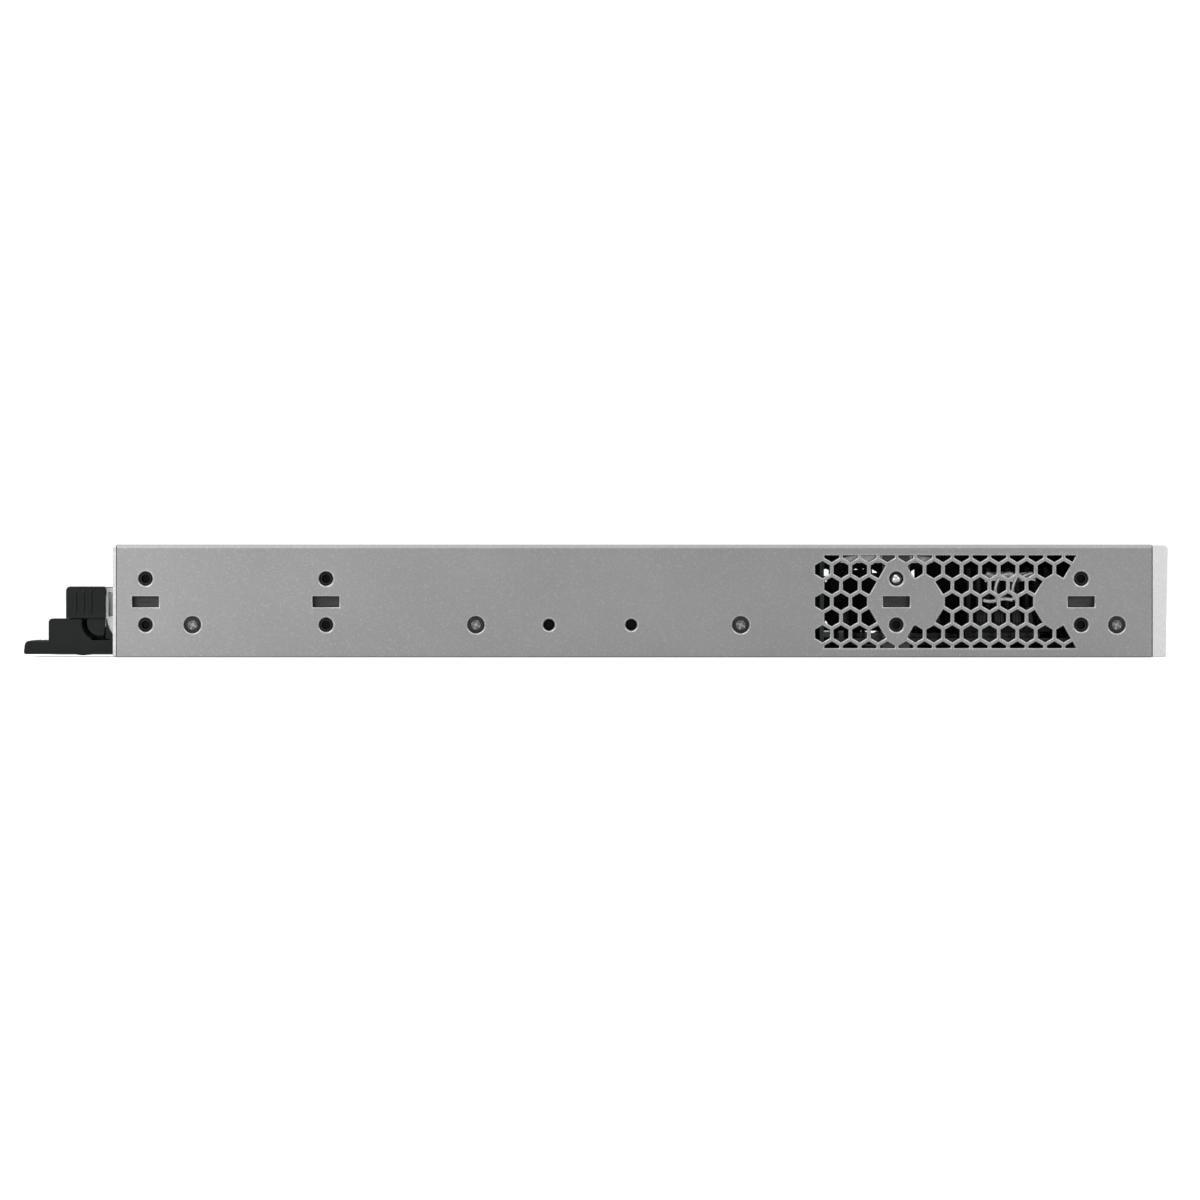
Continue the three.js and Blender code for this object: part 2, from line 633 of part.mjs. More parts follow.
// A fan module: a sheet tube with a rear face, the fan inside it and a sprung release tab.
function fanModuleAt(number, x) {
  const group = new THREE.Group();
  group.position.x = x;
  const half = fanModule.halfWidth;
  const y = [fanModule.innerY, rearY - 0.1];
  const tube = box([-half, half], y, moduleZ);
  const hollow = box([-half + 0.8, half - 0.8], [y[0] - 1, y[1] - 1], [moduleZ[0] + 0.8, moduleZ[1] - 0.8]);
  const tab = { x: [14.6, 19.4], z: [4.2, 8.2] };
  const carrier = cutBy(tube, [
    hollow,
    cylinder("y", [0, midZ], fan.bore, y[1] - 2, y[1] + 1, 20),
    box([tab.x[0] - 2, tab.x[1] + 0.4], [y[1] - 2, y[1] + 1], [tab.z[0] - 0.4, tab.z[1] + 0.4]),
  ]);
  group.add(piece(`fan_${number}_carrier`, carrier, zincSteel));
  group.add(fanFrame(`fan_${number}_frame`));
  group.add(fanRotor(`fan_${number}_rotor`));
  const flange = box([tab.x[0] - 2.4, tab.x[1] + 0.6], [y[1] - 4.2, y[1] - 1.4], [tab.z[0] - 0.9, tab.z[1] + 0.9]);
  const nub = box(tab.x, [y[1] - 4, y[1] + 3], tab.z);
  group.add(piece(`fan_${number}_release`, flange.add(nub), blackPlastic));
  return group;
}

// ---------------------------------------------------------------- power supplies
const handle = { x: [-40.2, -3], plateZ: [1.2, 6.5], blockTop: 15.2, blockEnd: 213.7, padStart: 191.4, padEnd: 206.8 };
const latch = { pivot: [-38.7, 150], leafX: [-39.2, -38.2], z: [8, 27.1] };
const scoop = { y: 193.5, z: 13.5, radius: 7.6 };

function supplyHousing(name) {
  const half = supply.halfWidth;
  const y = [supply.innerY, rearY - 0.1];
  const tube = box([-half, half], y, moduleZ);
  const hollow = box([-half + 1, half - 1], [y[0] + 1, y[1] - 1], [moduleZ[0] + 1, moduleZ[1] - 1]);
  const faceY = [y[1] - 2, y[1] + 1];
  const innerY = [y[0] - 1, y[0] + 2];
  const slots = [-30, -24, 24, 30].map((x) => box([x - 1.8, x + 1.8], innerY, [12, 36]));
  const solid = cutBy(tube, [
    hollow,
    box([-27.9, -0.1], faceY, [15.6, 36.2]),
    cylinder("y", [20, midZ], fan.bore, ...faceY, 20),
    box([-half + 1, -35], faceY, [7.4, 27.7]),
    box([-half - 1, -half + 2], [rearY - 12, rearY - 2], [13, 21]),
    box([-17, 17], innerY, [5.2, 22]),
    ...slots,
  ]);
  const ear = box([-34.8, -34], [faceY[0] + 0.6, rearY + 2.6], [15.7, 27]);
  return piece(name, joined([solid, ear]), zincSteel);
}

function supplyBoard(name) {
  const z = [6, 7.6];
  const parts = [
    box([-36, 36], [supply.innerY + 2, 156], z),
    box([-14, 14], [supply.innerY - 2.6, supply.innerY + 2.1], z),
    box([-8, 24], [-20, 18], [z[1] - 0.1, 34]),
    box([-32, -28], [-60, 100], [z[1] - 0.1, 32]),
    cylinder("z", [12, 60], 11, z[1] - 0.1, 37, 14),
    cylinder("z", [12, 90], 11, z[1] - 0.1, 37, 14),
    box([26, 30], [-60, 60], [z[1] - 0.1, 30]),
  ];
  return piece(name, joined(parts), boardGreen);
}

// The mains inlet: a housing with a cavity that is bevelled at the top, and three blades in it.
function supplyInlet(name) {
  const x = -14;
  const z = 25.9;
  const y = [rearY - 18, rearY + 1.4];
  const body = box([x - 13.6, x + 13.6], y, [z - 10, z + 10]);
  const cavity = polygon([
    [x - 12, z - 8.2],
    [x + 12, z - 8.2],
    [x + 12, z + 3.6],
    [x + 7.4, z + 8.2],
    [x - 7.4, z + 8.2],
    [x - 12, z + 3.6],
  ]);
  const blade = (dx, dz) => box([x + dx - 1, x + dx + 1], [y[1] - 15.6, y[1] - 2.5], [z + dz - 2, z + dz + 2]);
  const solid = body.subtract(prism("y", cavity, y[1] - 15.5, y[1] + 1));
  return piece(name, joined([solid, blade(-7, -1), blade(7, -1), blade(0, 3.4)]), jackPlastic);
}

// The fixed handle: a flat tongue to pull, a block at its outer end with a scoop for the latch, and a finger post.
function supplyHandle(name) {
  const [tongueLow, tongueHigh] = handle.plateZ;
  const face = rearY + seam;
  const tip = overallDepth / 2;
  const tongue = new THREE.Shape();
  tongue.moveTo(face, tongueLow);
  tongue.lineTo(tip - 0.4, tongueLow);
  tongue.absarc(tip - 0.8, tongueLow + 0.8, 0.8, -Math.PI / 4, 0, false);
  tongue.lineTo(tip - 0.4, tongueHigh - 1.8);
  tongue.absarc(tip - 2.2, tongueHigh - 1.8, 1.8, 0, Math.PI / 2, false);
  tongue.lineTo(face, tongueHigh);
  const block = new THREE.Shape();
  block.moveTo(face, tongueHigh - 0.5);
  block.lineTo(handle.blockEnd, tongueHigh - 0.5);
  block.absarc(handle.blockEnd - 1.5, handle.blockTop - 1.5, 1.5, 0, Math.PI / 2, false);
  block.lineTo(handle.padStart, handle.blockTop);
  block.quadraticCurveTo(handle.padStart - 1, 10, face, 8.3);
  const post = roundedRectangle([handle.padStart + 0.4, handle.padEnd - 0.4], [handle.blockTop - 3, 27.2], 1.2);
  const bump = new THREE.Shape();
  bump.moveTo(198.1, tongueLow + 0.3);
  bump.quadraticCurveTo(201.9, -0.5, 205.7, tongueLow + 0.3);
  const solid = joined([
    prism("x", tongue, ...handle.x),
    prism("x", block, handle.x[0], -28.6),
    prism("x", post, -32, -28.6, 3),
    prism("x", bump, -24, -12),
  ]);
  const relief = cylinder("x", [scoop.y, scoop.z], scoop.radius, handle.x[0] - 1, -32.2, 24);
  const reliefBox = box([handle.x[0] - 1, -32.2], [face - 1, scoop.y + scoop.radius], [tongueHigh, 30]);
  return piece(name, solid.subtract(relief.intersect(reliefBox)), blackPlastic);
}

// The latch's spring leaf: it runs into the housing, with a nose that catches in the bay wall.
function supplyLatchLeaf(name) {
  const [low, high] = latch.z;
  const strip = box(latch.leafX, [latch.pivot[1] - 3, handle.padStart - 0.2], [low, high]);
  const tongue = box(latch.leafX, [handle.padStart - 0.3, handle.padStart + 7], [12, 24]);
  const nose = polygon([
    [latch.leafX[0] + 0.5, rearY - 10],
    [-41.2, rearY - 7],
    [-41.2, rearY - 5],
    [latch.leafX[0] + 0.5, rearY - 4],
  ]);
  const window = box([-42, -36], [rearY - 0.5, rearY + 2.3], [16, 25.5]);
  return piece(name, joined([strip, tongue, prism("z", nose, 14.5, 19.5)]).subtract(window), shieldMetal);
}

// The thumb pad on the end of the leaf: a block with upright ribs, and a round lobe that sits in the handle's scoop.
function supplyLatchPad(name) {
  const x = [-41.0, -36.6];
  const top = 27.7;
  const upper = new THREE.Shape();
  upper.moveTo(handle.padStart, handle.blockTop + seam);
  upper.lineTo(handle.padEnd, handle.blockTop + seam);
  upper.absarc(handle.padEnd - 1.8, top - 1.8, 1.8, 0, Math.PI / 2, false);
  upper.absarc(handle.padStart + 1, top - 1, 1, Math.PI / 2, Math.PI, false);
  const lobe = cylinder("x", [scoop.y, scoop.z], scoop.radius - 0.5, x[0] + 0.8, x[1], 24).intersect(
    box(x, [handle.padStart, 210], [handle.plateZ[1] + 0.4, 20]),
  );
  const ribs = [197.1, 200.1, 203.1].map((y) => box([x[0] - 0.6, x[0] + 0.3], [y - 0.6, y + 0.6], [16.4, 26.6]));
  const pocket = box([latch.leafX[0] - 0.3, latch.leafX[1] + 0.3], [handle.padStart - 1, handle.padStart + 7.4], [
    11.7, 24.3,
  ]);
  return piece(name, joined([prism("x", upper, ...x, 3), lobe, ...ribs]).subtract(pocket), blackPlastic);
}

function powerSupplyAt(number, x) {
  const group = new THREE.Group();
  group.position.x = x;
  const name = (part) => `psu_${number}_${part}`;
  const fanGroup = new THREE.Group();
  fanGroup.position.x = 20;
  fanGroup.add(fanFrame(name("fan_frame")), fanRotor(name("fan_rotor")));
  group.add(
    supplyHousing(name("housing")),
    supplyBoard(name("board")),
    supplyInlet(name("inlet")),
    supplyHandle(name("handle")),
    supplyLatchLeaf(name("latch_leaf")),
    supplyLatchPad(name("latch_pad")),
    fanGroup,
  );
  return group;
}

// ---------------------------------------------------------------- assembly
const networkSwitch = new THREE.Group();
networkSwitch.add(chassisBase(), rearPanel(), frontPanel(), frontBezel(), topCover());
coverScrewY.forEach((y, i) => {
  networkSwitch.add(coverScrew(`cover_screw_left_${i + 1}`, -1, y));
  networkSwitch.add(coverScrew(`cover_screw_right_${i + 1}`, 1, y));
});
networkSwitch.add(jackBankBlock("jack_bank_left", jackBank.centres[0]));
networkSwitch.add(jackBankBlock("jack_bank_right", jackBank.centres[1]));
networkSwitch.add(modeButtonPiece(), statusLightPipe(), usbPort(), uplinkModule());
networkSwitch.add(mainBoard(), powerMidplane());
networkSwitch.add(heatSink("switch_chip_heatsink", [5, 75], [-80, -10], [9.9, 36], 14));
networkSwitch.add(heatSink("processor_heatsink", [-212, -166], [-179, -144], [9.9, 35], 10));
networkSwitch.add(managementJacks());
stackPort.centres.forEach((x, i) => {
  networkSwitch.add(stackPortShell(`stack_port_${i + 1}`, x), stackCover(`stack_cover_${i + 1}`, x));
});
fanModule.centres.forEach((x, i) => networkSwitch.add(fanModuleAt(i + 1, x)));
supply.centres.forEach((x, i) => networkSwitch.add(powerSupplyAt(i + 1, x)));

export default networkSwitch;
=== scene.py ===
import json
import math

import bmesh
import bpy
import numpy as np
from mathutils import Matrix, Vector
from mathutils.geometry import delaunay_2d_cdt


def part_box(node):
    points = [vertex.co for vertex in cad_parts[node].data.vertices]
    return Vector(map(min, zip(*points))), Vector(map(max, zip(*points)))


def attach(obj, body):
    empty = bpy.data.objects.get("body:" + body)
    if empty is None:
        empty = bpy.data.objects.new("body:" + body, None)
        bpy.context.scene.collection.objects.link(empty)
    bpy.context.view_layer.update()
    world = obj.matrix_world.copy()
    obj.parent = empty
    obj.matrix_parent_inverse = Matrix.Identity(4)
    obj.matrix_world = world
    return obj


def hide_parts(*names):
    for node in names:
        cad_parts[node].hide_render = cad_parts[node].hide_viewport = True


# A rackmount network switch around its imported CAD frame. Metres, front towards -Y, +Z up.

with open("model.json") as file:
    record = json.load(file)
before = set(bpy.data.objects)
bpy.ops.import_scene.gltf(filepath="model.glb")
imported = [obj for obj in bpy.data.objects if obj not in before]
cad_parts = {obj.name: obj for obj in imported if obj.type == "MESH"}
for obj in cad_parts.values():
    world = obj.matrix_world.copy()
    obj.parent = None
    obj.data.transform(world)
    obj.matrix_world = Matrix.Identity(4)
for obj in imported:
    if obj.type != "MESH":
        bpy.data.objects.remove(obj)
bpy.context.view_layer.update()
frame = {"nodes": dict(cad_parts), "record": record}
print("switch: frame loaded")

mm = 0.001
pi = math.pi
caseLow, caseHigh = (np.array(corner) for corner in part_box("top_cover"))
# points nearer than merge are one point, edges shorter than sliver vanish; the angles are in degrees
meshing = {"merge": 2e-6, "sliver": 1e-7, "flat": 0.5, "sharp": 32, "bevelled": 35}
record = frame["record"]
slotOf = {part["node"]: part["material_slot"] for part in record["subparts"]}
bodyOf = {node: body for body, nodes in record["behaviour"]["bodies"].items() for node in nodes}


# a node's lowest and highest corners, in millimetres
def boxOf(node):
    return tuple(np.array(corner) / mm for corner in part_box(node))


def middleOf(node):
    return sum(boxOf(node)) / 2


class Shape:
    # gathers grids and flat faces, each a whole array, into one mesh
    def __init__(self):
        self.points, self.faces, self.marks, self.count = [], [], [], 0

    # the mark says which of the piece's materials these faces take
    def add(self, points, faces, mark=0):
        points = np.asarray(points, float).reshape(-1, 3)
        self.points.append(points)
        self.faces += [[int(i) + self.count for i in face] for face in faces]
        self.marks += [mark] * len(faces)
        self.count += len(points)
        return self

    # a grid of points (rows, columns, 3) becomes quads, closed round the rows or columns if asked
    def grid(self, points, closeRows=False, closeColumns=False, mark=0):
        rows, columns = points.shape[:2]
        r = np.arange(rows if closeRows else rows - 1)
        c = np.arange(columns if closeColumns else columns - 1)
        r, c = (part.ravel() for part in np.meshgrid(r, c, indexing="ij"))
        down, right = (r + 1) % rows, (c + 1) % columns
        quads = np.stack([r * columns + c, r * columns + right, down * columns + right, down * columns + c], 1)
        return self.add(points, quads, mark)

    # a tube: a grid closed round its columns, with a flat face over each end
    def tube(self, points):
        ring = list(range(points.shape[1]))
        self.grid(points, closeColumns=True)
        return self.add(points[0], [ring]).add(points[-1], [ring[::-1]])

    # many copies of one shape, each moved by its own offset
    def copies(self, shape, offsets):
        points = np.concatenate(shape.points)
        for offset in offsets:
            self.add(points + np.asarray(offset), shape.faces)
        return self


# a mesh from a shape: doubles merged, normals outwards, and edges sharper than the smooth angle kept sharp
def finished(name, shape, material, body, replaced=(), smoothAngle=35, recalc=True, second=None):
    mesh = bpy.data.meshes.new(name)
    mesh.from_pydata(np.concatenate(shape.points).tolist(), [], shape.faces)
    work = bmesh.new()
    work.from_mesh(mesh)
    for face, mark in zip(work.faces, shape.marks):
        face.material_index = mark
    bmesh.ops.remove_doubles(work, verts=work.verts, dist=meshing["merge"])
    bmesh.ops.dissolve_degenerate(work, edges=work.edges, dist=meshing["sliver"])
    if recalc:
        bmesh.ops.recalc_face_normals(work, faces=work.faces)
    for face in work.faces:
        face.smooth = True
    for edge in work.edges:
        if len(edge.link_faces) == 2:
            edge.smooth = edge.calc_face_angle(0) < math.radians(smoothAngle)
    work.to_mesh(mesh)
    work.free()
    mesh.materials.append(material)
    if second:
        mesh.materials.append(second)
    return dressed(name, mesh, body, replaced)


# the object of a mesh: its modifiers, the body that it rides on and what it stands for
def dressed(name, mesh, body, replaced=(), bevel=None, segments=2):
    piece = bpy.data.objects.new(name, mesh)
    bpy.context.scene.collection.objects.link(piece)
    if bevel:
        rounding = piece.modifiers.new("rounding", "BEVEL")
        rounding.width, rounding.segments = bevel, segments
        rounding.limit_method, rounding.angle_limit = "ANGLE", math.radians(meshing["bevelled"])
    evened = piece.modifiers.new("evenShading", "WEIGHTED_NORMAL")
    evened.keep_sharp, evened.weight = True, 100
    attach(piece, body)
    if replaced:
        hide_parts(*replaced)
    return piece


# puts flat (a, b) points at depth d along an axis: along x they are (y, z), along y (x, z), along z (x, y)
def placed(axis, ab, depth):
    ab = np.asarray(ab, float)
    coordinates = [ab[..., 0], ab[..., 1]]
    coordinates.insert("xyz".index(axis), np.broadcast_to(depth, ab.shape[:-1]))
    return np.stack(coordinates, -1)


# moves each side of a closed outline sideways by a distance, and meets the moved sides again:
# corner + distance * (normal before + normal after) / (1 + their dot product)
def offsetLoop(loop, distance):
    forward = np.roll(loop, -1, -2) - loop
    forward = forward / np.linalg.norm(forward, axis=-1, keepdims=True)
    normal = np.stack([forward[..., 1], -forward[..., 0]], -1)
    before = np.roll(normal, 1, -2)
    return loop + distance * (normal + before) / (1 + np.sum(normal * before, -1, keepdims=True))


# half the sum of each point's cross product with the next
def signedArea(loop):
    nextPoint = np.roll(loop, -1, 0)
    return 0.5 * np.sum(loop[:, 0] * nextPoint[:, 1] - nextPoint[:, 0] * loop[:, 1])


def anticlockwise(loop):
    loop = np.asarray(loop, float)
    return loop if signedArea(loop) > 0 else loop[::-1]


# triangles that fill one outline apart from its holes
def filled(outer, holes):
    loops = [outer, *holes]
    starts = np.cumsum([0] + [len(loop) for loop in loops])
    points = [Vector(p) for p in np.concatenate(loops)]
    borders = [list(range(starts[i], starts[i + 1])) for i in range(len(loops))]
    made = delaunay_2d_cdt(points, [], borders, 1, 1e-9)
    keep = [face for face, origin in zip(made[2], made[5]) if list(origin) == [0]]
    return np.array(made[0]), keep


# a plate with rounded edges: each outline runs round the edge, as its inset goes r (1 - sin t) and its depth
# r (1 - cos t), straight through, and round the far edge; the flat faces fill what is left
def plate(shape, axis, outer, holes, start, end, radius, steps=3, holeRadius=None):
    holeRadius = radius if holeRadius is None else holeRadius
    way = 1 if end > start else -1
    outer = anticlockwise(outer)
    holes = [anticlockwise(hole) for hole in holes]
    t = np.linspace(0, math.pi / 2, steps + 1)
    for loop, sign, r in [(outer, -1, radius)] + [(hole, 1, holeRadius) for hole in holes]:
        if r > 0:
            inset, depth = r * (1 - np.sin(t)), r * (1 - np.cos(t))
            depths = np.concatenate([start + way * depth, (end - way * depth)[::-1]])
            insets = np.concatenate([inset, inset[::-1]])
        else:
            depths, insets = np.array([start, end]), np.zeros(2)
        rings = np.stack([offsetLoop(loop, sign * inset) for inset in insets])
        shape.grid(placed(axis, rings, depths[:, None]), closeColumns=True)
    flatOuter = offsetLoop(outer, -radius) if radius > 0 else outer
    flatHoles = [offsetLoop(hole, holeRadius) if holeRadius > 0 else hole for hole in holes]
    points, faces = filled(flatOuter, flatHoles)
    shape.add(placed(axis, points, start), faces)
    shape.add(placed(axis, points, end), [face[::-1] for face in faces])
    return shape


# centre + radius * (cos angle, sin angle), for whole arrays of radii and angles
def polar(centre, radius, angle):
    return np.stack([centre[0] + radius * np.cos(angle), centre[1] + radius * np.sin(angle)], -1)


def fullTurn(steps):
    return np.linspace(0, 2 * pi, steps, endpoint=False)


def circle(centre, radius, steps=32):
    return polar(centre, radius, fullTurn(steps))


# points on a circle from one angle to another, in degrees
def arc(centre, radius, start, end, steps):
    return polar(centre, radius, np.radians(np.linspace(start, end, steps)))


# four corners, anticlockwise from the lowest
def rectangle(a, b):
    return np.array([[a[0], b[0]], [a[1], b[0]], [a[1], b[1]], [a[0], b[1]]], float)


# a rectangle with round corners, each a quarter circle
def roundRect(a, b, radius, steps=5):
    quarter = np.arange(4)[:, None] * pi / 2 + np.linspace(0, pi / 2, steps)
    corner = rectangle((a[0] + radius, a[1] - radius), (b[0] + radius, b[1] - radius))[[2, 3, 0, 1]]
    return polar(corner.T[:, :, None], radius, quarter).reshape(-1, 2)


# An outline with its corners eased: each becomes (1 - t)^2 first + 2 t (1 - t) corner + t^2 last, where first and
# last are points on its two sides, the radius away or just short of half a side.
def eased(loop, radius, steps=4):
    loop = np.asarray(loop, float)
    before, after = np.roll(loop, 1, 0) - loop, np.roll(loop, -1, 0) - loop
    lengthBefore, lengthAfter = (np.linalg.norm(way, axis=1, keepdims=True) for way in (before, after))
    reach = np.minimum(np.reshape(radius, (-1, 1)), 0.45 * np.minimum(lengthBefore, lengthAfter))
    first, last = loop + before / lengthBefore * reach, loop + after / lengthAfter * reach
    t = np.linspace(0, 1, steps)[None, :, None]
    return ((1 - t) ** 2 * first[:, None] + 2 * t * (1 - t) * loop[:, None] + t**2 * last[:, None]).reshape(-1, 2)


# outline corners given as (a, b, radius), each rounded by its own radius; a corner with radius 0 stays one point
def rounded(corners, steps=6):
    corners = np.asarray(corners, float)
    points = eased(corners[:, :2], corners[:, 2] + 1e-9, steps)
    return points[(np.arange(len(points)) % steps == 0) | np.repeat(corners[:, 2] > 0, steps)]


# a plate with no holes, given in millimetres
def slab(shape, axis, outline, start, end, edge, steps=3):
    return plate(shape, axis, np.asarray(outline, float) * mm, [], start * mm, end * mm, edge * mm, steps)


# a surface of revolution in millimetres: (radius, depth) pairs carried round an axis through a point
def turned(shape, axis, centre, profile, steps):
    profile = np.asarray(profile, float)
    rings = polar(centre, profile[:, :1], fullTurn(steps))
    return shape.grid(placed(axis, rings, profile[:, 1:]) * mm, closeColumns=True)


# a round or flat section carried along a path, held square to it by turning as little as possible
def swept(shape, path, section, closed=False, up=(0, 0, 1)):
    path, section = np.asarray(path, float), np.asarray(section, float)
    ahead = np.roll(path, -1, 0) - np.roll(path, 1, 0)
    if not closed:
        ahead[0], ahead[-1] = path[1] - path[0], path[-1] - path[-2]
    ahead = ahead / np.linalg.norm(ahead, axis=1, keepdims=True)
    side = np.cross(ahead, np.asarray(up, float))
    side = side / np.linalg.norm(side, axis=1, keepdims=True)
    over = np.cross(side, ahead)
    rings = path[:, None] + section[None, :, :1] * side[:, None] + section[None, :, 1:] * over[:, None]
    return shape.grid(rings, closeRows=True, closeColumns=True) if closed else shape.tube(rings)


# the closed outlines of the flat face that a CAD node has at one coordinate: border edges have no twin the other
# way, and all outlines are followed at once from point to next point
def rimLoops(node, axis, level):
    work = bmesh.new()
    work.from_mesh(frame["nodes"][node].data)
    bmesh.ops.remove_doubles(work, verts=work.verts, dist=1e-6)
    mesh = bpy.data.meshes.new("outlines")
    work.to_mesh(mesh)
    work.free()
    points = np.empty(len(mesh.vertices) * 3, np.float32)
    mesh.vertices.foreach_get("co", points)
    points = points.reshape(-1, 3).astype(float)
    corners = np.empty(len(mesh.loops), np.int32)
    mesh.loops.foreach_get("vertex_index", corners)
    bpy.data.meshes.remove(mesh)
    corners = corners.reshape(-1, 3)
    index = "xyz".index(axis)
    corners = corners[np.all(np.abs(points[corners][:, :, index] - level) < 5e-6, 1)]
    edges = np.concatenate([corners[:, [0, 1]], corners[:, [1, 2]], corners[:, [2, 0]]]).astype(np.int64)
    total = len(points)
    border = edges[~np.isin(edges[:, 0] * total + edges[:, 1], edges[:, 1] * total + edges[:, 0])]
    following = np.arange(total)
    following[border[:, 0]] = border[:, 1]
    label, jump = np.minimum(np.arange(total), following), following[following]
    for _ in range(10):
        label, jump = np.minimum(label, label[jump]), jump[jump]
    starts = np.unique(label[border[:, 0]])
    trail = [starts]
    for _ in range(200):
        trail.append(following[trail[-1]])
    trail = np.array(trail)
    lengths = 1 + np.argmax(trail[1:] == trail[0], 0)
    flat = {"x": [1, 2], "y": [0, 2], "z": [0, 1]}[axis]
    return [points[trail[:n, i]][:, flat] for i, n in enumerate(lengths)]


# a node's output; sums, differences and products of signals add Math nodes
class Signal:
    def __init__(self, finish, socket):
        self.finish, self.socket = finish, socket

    def maths(self, operation, *terms):
        return self.finish.node("ShaderNodeMath", {"operation": operation}, dict(enumerate(terms)))

    def __add__(self, other):
        return self.maths("ADD", self, other)

    def __sub__(self, other):
        return self.maths("SUBTRACT", self, other)

    def __rsub__(self, other):
        return self.maths("SUBTRACT", other, self)

    def __mul__(self, other):
        return self.maths("MULTIPLY", self, other)

    __radd__, __rmul__ = __add__, __mul__


class NodeTree:
    def __init__(self, tree):
        self.tree = tree

    # a node of a kind, its settings first, then the values or links of its inputs
    def node(self, kind, settings, values, output=0):
        made = self.tree.nodes.new(kind)
        for key, value in settings.items():
            setattr(made, key, value)
        for key, value in values.items():
            if isinstance(value, Signal):
                self.tree.links.new(value.socket, made.inputs[key])
            else:
                made.inputs[key].default_value = value
        return Signal(self, made.outputs[output])

    def span(self, signal, low, high, lowOut=0.0, highOut=1.0):
        values = {"Value": signal, "From Min": low, "From Max": high, "To Min": lowOut, "To Max": highOut}
        return self.node("ShaderNodeMapRange", {}, values)


# one material: its shader's fixed values, then the signals that vary over the surface
class Finish(NodeTree):
    def __init__(self, name, fixed):
        self.material = bpy.data.materials.new(name)
        self.material.use_nodes = True
        super().__init__(self.material.node_tree)
        self.shader = self.tree.nodes["Principled BSDF"]
        for key, value in fixed.items():
            self.shader.inputs[key].default_value = value
        self.where = self.node("ShaderNodeTexCoord", {}, {}, "Object")

    def stretched(self, scale):
        return self.node("ShaderNodeMapping", {}, {"Vector": self.where, "Scale": scale})

    def noise(self, scale, detail=2.0, rough=0.5, vector=None):
        values = {"Vector": vector or self.where, "Scale": scale, "Detail": detail, "Roughness": rough}
        return self.node("ShaderNodeTexNoise", {}, values, "Fac")

    def blended(self, factor, low, high):
        values = {"Factor": factor, 6: (*low, 1), 7: (*high, 1)}
        return self.node("ShaderNodeMix", {"data_type": "RGBA"}, values, 2)

    def relief(self, height, distance, strength=1.0):
        return self.node("ShaderNodeBump", {}, {"Height": height, "Distance": distance, "Strength": strength})

    def wear(self, **signals):
        inputs = {"colour": "Base Color", "glow": "Emission Color"}
        for key, signal in signals.items():
            self.tree.links.new(signal.socket, self.shader.inputs[inputs.get(key, key.capitalize())])
        return self.material


# satin silver paint: fine metal flakes, a faint mottle, bright sparks and an orange-peel skin
def silverPaint(name, dark, light, metal, rough, grain=2600):
    finish = Finish(name, {"Metallic": metal, "Specular IOR Level": 0.5})
    flakes = finish.noise(grain, 3.0, 0.7)
    mottle = finish.noise(26, 2.0)
    sparks = finish.span(finish.noise(grain * 0.5, 1.0), 0.56, 0.7)
    tone = finish.span(flakes * 0.75 + mottle * 0.25, 0.34, 0.66) * 0.8 + sparks * 0.75
    skin = finish.noise(grain * 0.6, 1.0)
    return finish.wear(
        colour=finish.blended(tone, dark, light),
        roughness=finish.span(flakes, 0.3, 0.7, rough - 0.05, rough + 0.07),
        normal=finish.relief(skin, 0.00004, 0.35),
    )


# rolled sheet: streaks squeezed along each axis, and a faint zinc spangle
def sheetMetal(name, dark, light, metal, rough, squeeze):
    finish = Finish(name, {"Metallic": metal})
    streaks = finish.noise(14, 4.0, 0.6, finish.stretched(squeeze))
    cells = {"Vector": finish.where, "Scale": 90.0}
    spangle = finish.node("ShaderNodeTexVoronoi", {"feature": "SMOOTH_F1"}, cells, "Distance")
    tone = finish.span(streaks * 0.9 + spangle * 0.1, 0.3, 0.7)
    return finish.wear(
        colour=finish.blended(tone, dark, light),
        roughness=finish.span(streaks, 0.3, 0.7, rough - 0.05, rough + 0.06),
        normal=finish.relief(streaks, 0.00001, 0.12),
    )


# moulded plastic with a spark-eroded texture
def mouldedPlastic(name, dark, light, grain, rough):
    finish = Finish(name, {"Specular IOR Level": 0.2})
    pits = finish.noise(grain, 3.0, 0.6)
    broad = finish.noise(40, 2.0)
    return finish.wear(
        colour=finish.blended(finish.span(pits * 0.5 + broad * 0.5, 0.35, 0.65), dark, light),
        roughness=finish.span(broad, 0.3, 0.7, rough - 0.06, rough + 0.08),
        normal=finish.relief(pits, 0.00005, 0.5),
    )


# solder mask over copper tracks: tracks are the thin joints of a brick pattern, broken up by a patchy noise
def circuitBoard(name, mask, track):
    finish = Finish(name, {"Roughness": 0.3, "Coat Weight": 0.3})
    bricks = {"Vector": finish.where, "Scale": 160.0, "Mortar Size": 0.02, "Mortar Smooth": 0.2}
    lattice = finish.node("ShaderNodeTexBrick", {"offset": 0.35, "squash": 1.6}, bricks, "Fac")
    patches = finish.span(finish.noise(55, 2.0), 0.45, 0.55)
    tracks = lattice * patches
    return finish.wear(colour=finish.blended(tracks, mask, track), normal=finish.relief(tracks, 0.00003, 0.6))


# frosted clear plastic
def clearGuide(name, dark, light):
    finish = Finish(name, {"Transmission Weight": 0.6, "IOR": 1.49})
    haze = finish.noise(500, 2.0)
    return finish.wear(
        colour=finish.blended(haze, dark, light),
        roughness=finish.span(haze, 0.3, 0.7, 0.18, 0.35),
    )


# paints: dark tone, light tone, metalness, roughness
paints = {
    "satinSilverPaint": ((0.225, 0.225, 0.226), (0.29, 0.29, 0.291), 0.5, 0.34),
    # the rolled edges of the openings: the silver paint made lighter and glossier, its lighter tone a painted
    # highlight
    "paintedRimHighlight": ((0.33, 0.33, 0.331), (0.44, 0.44, 0.441), 0.75, 0.28),
    "paleBezelPaint": ((0.47, 0.472, 0.476), (0.55, 0.552, 0.557), 0.3, 0.36),
}
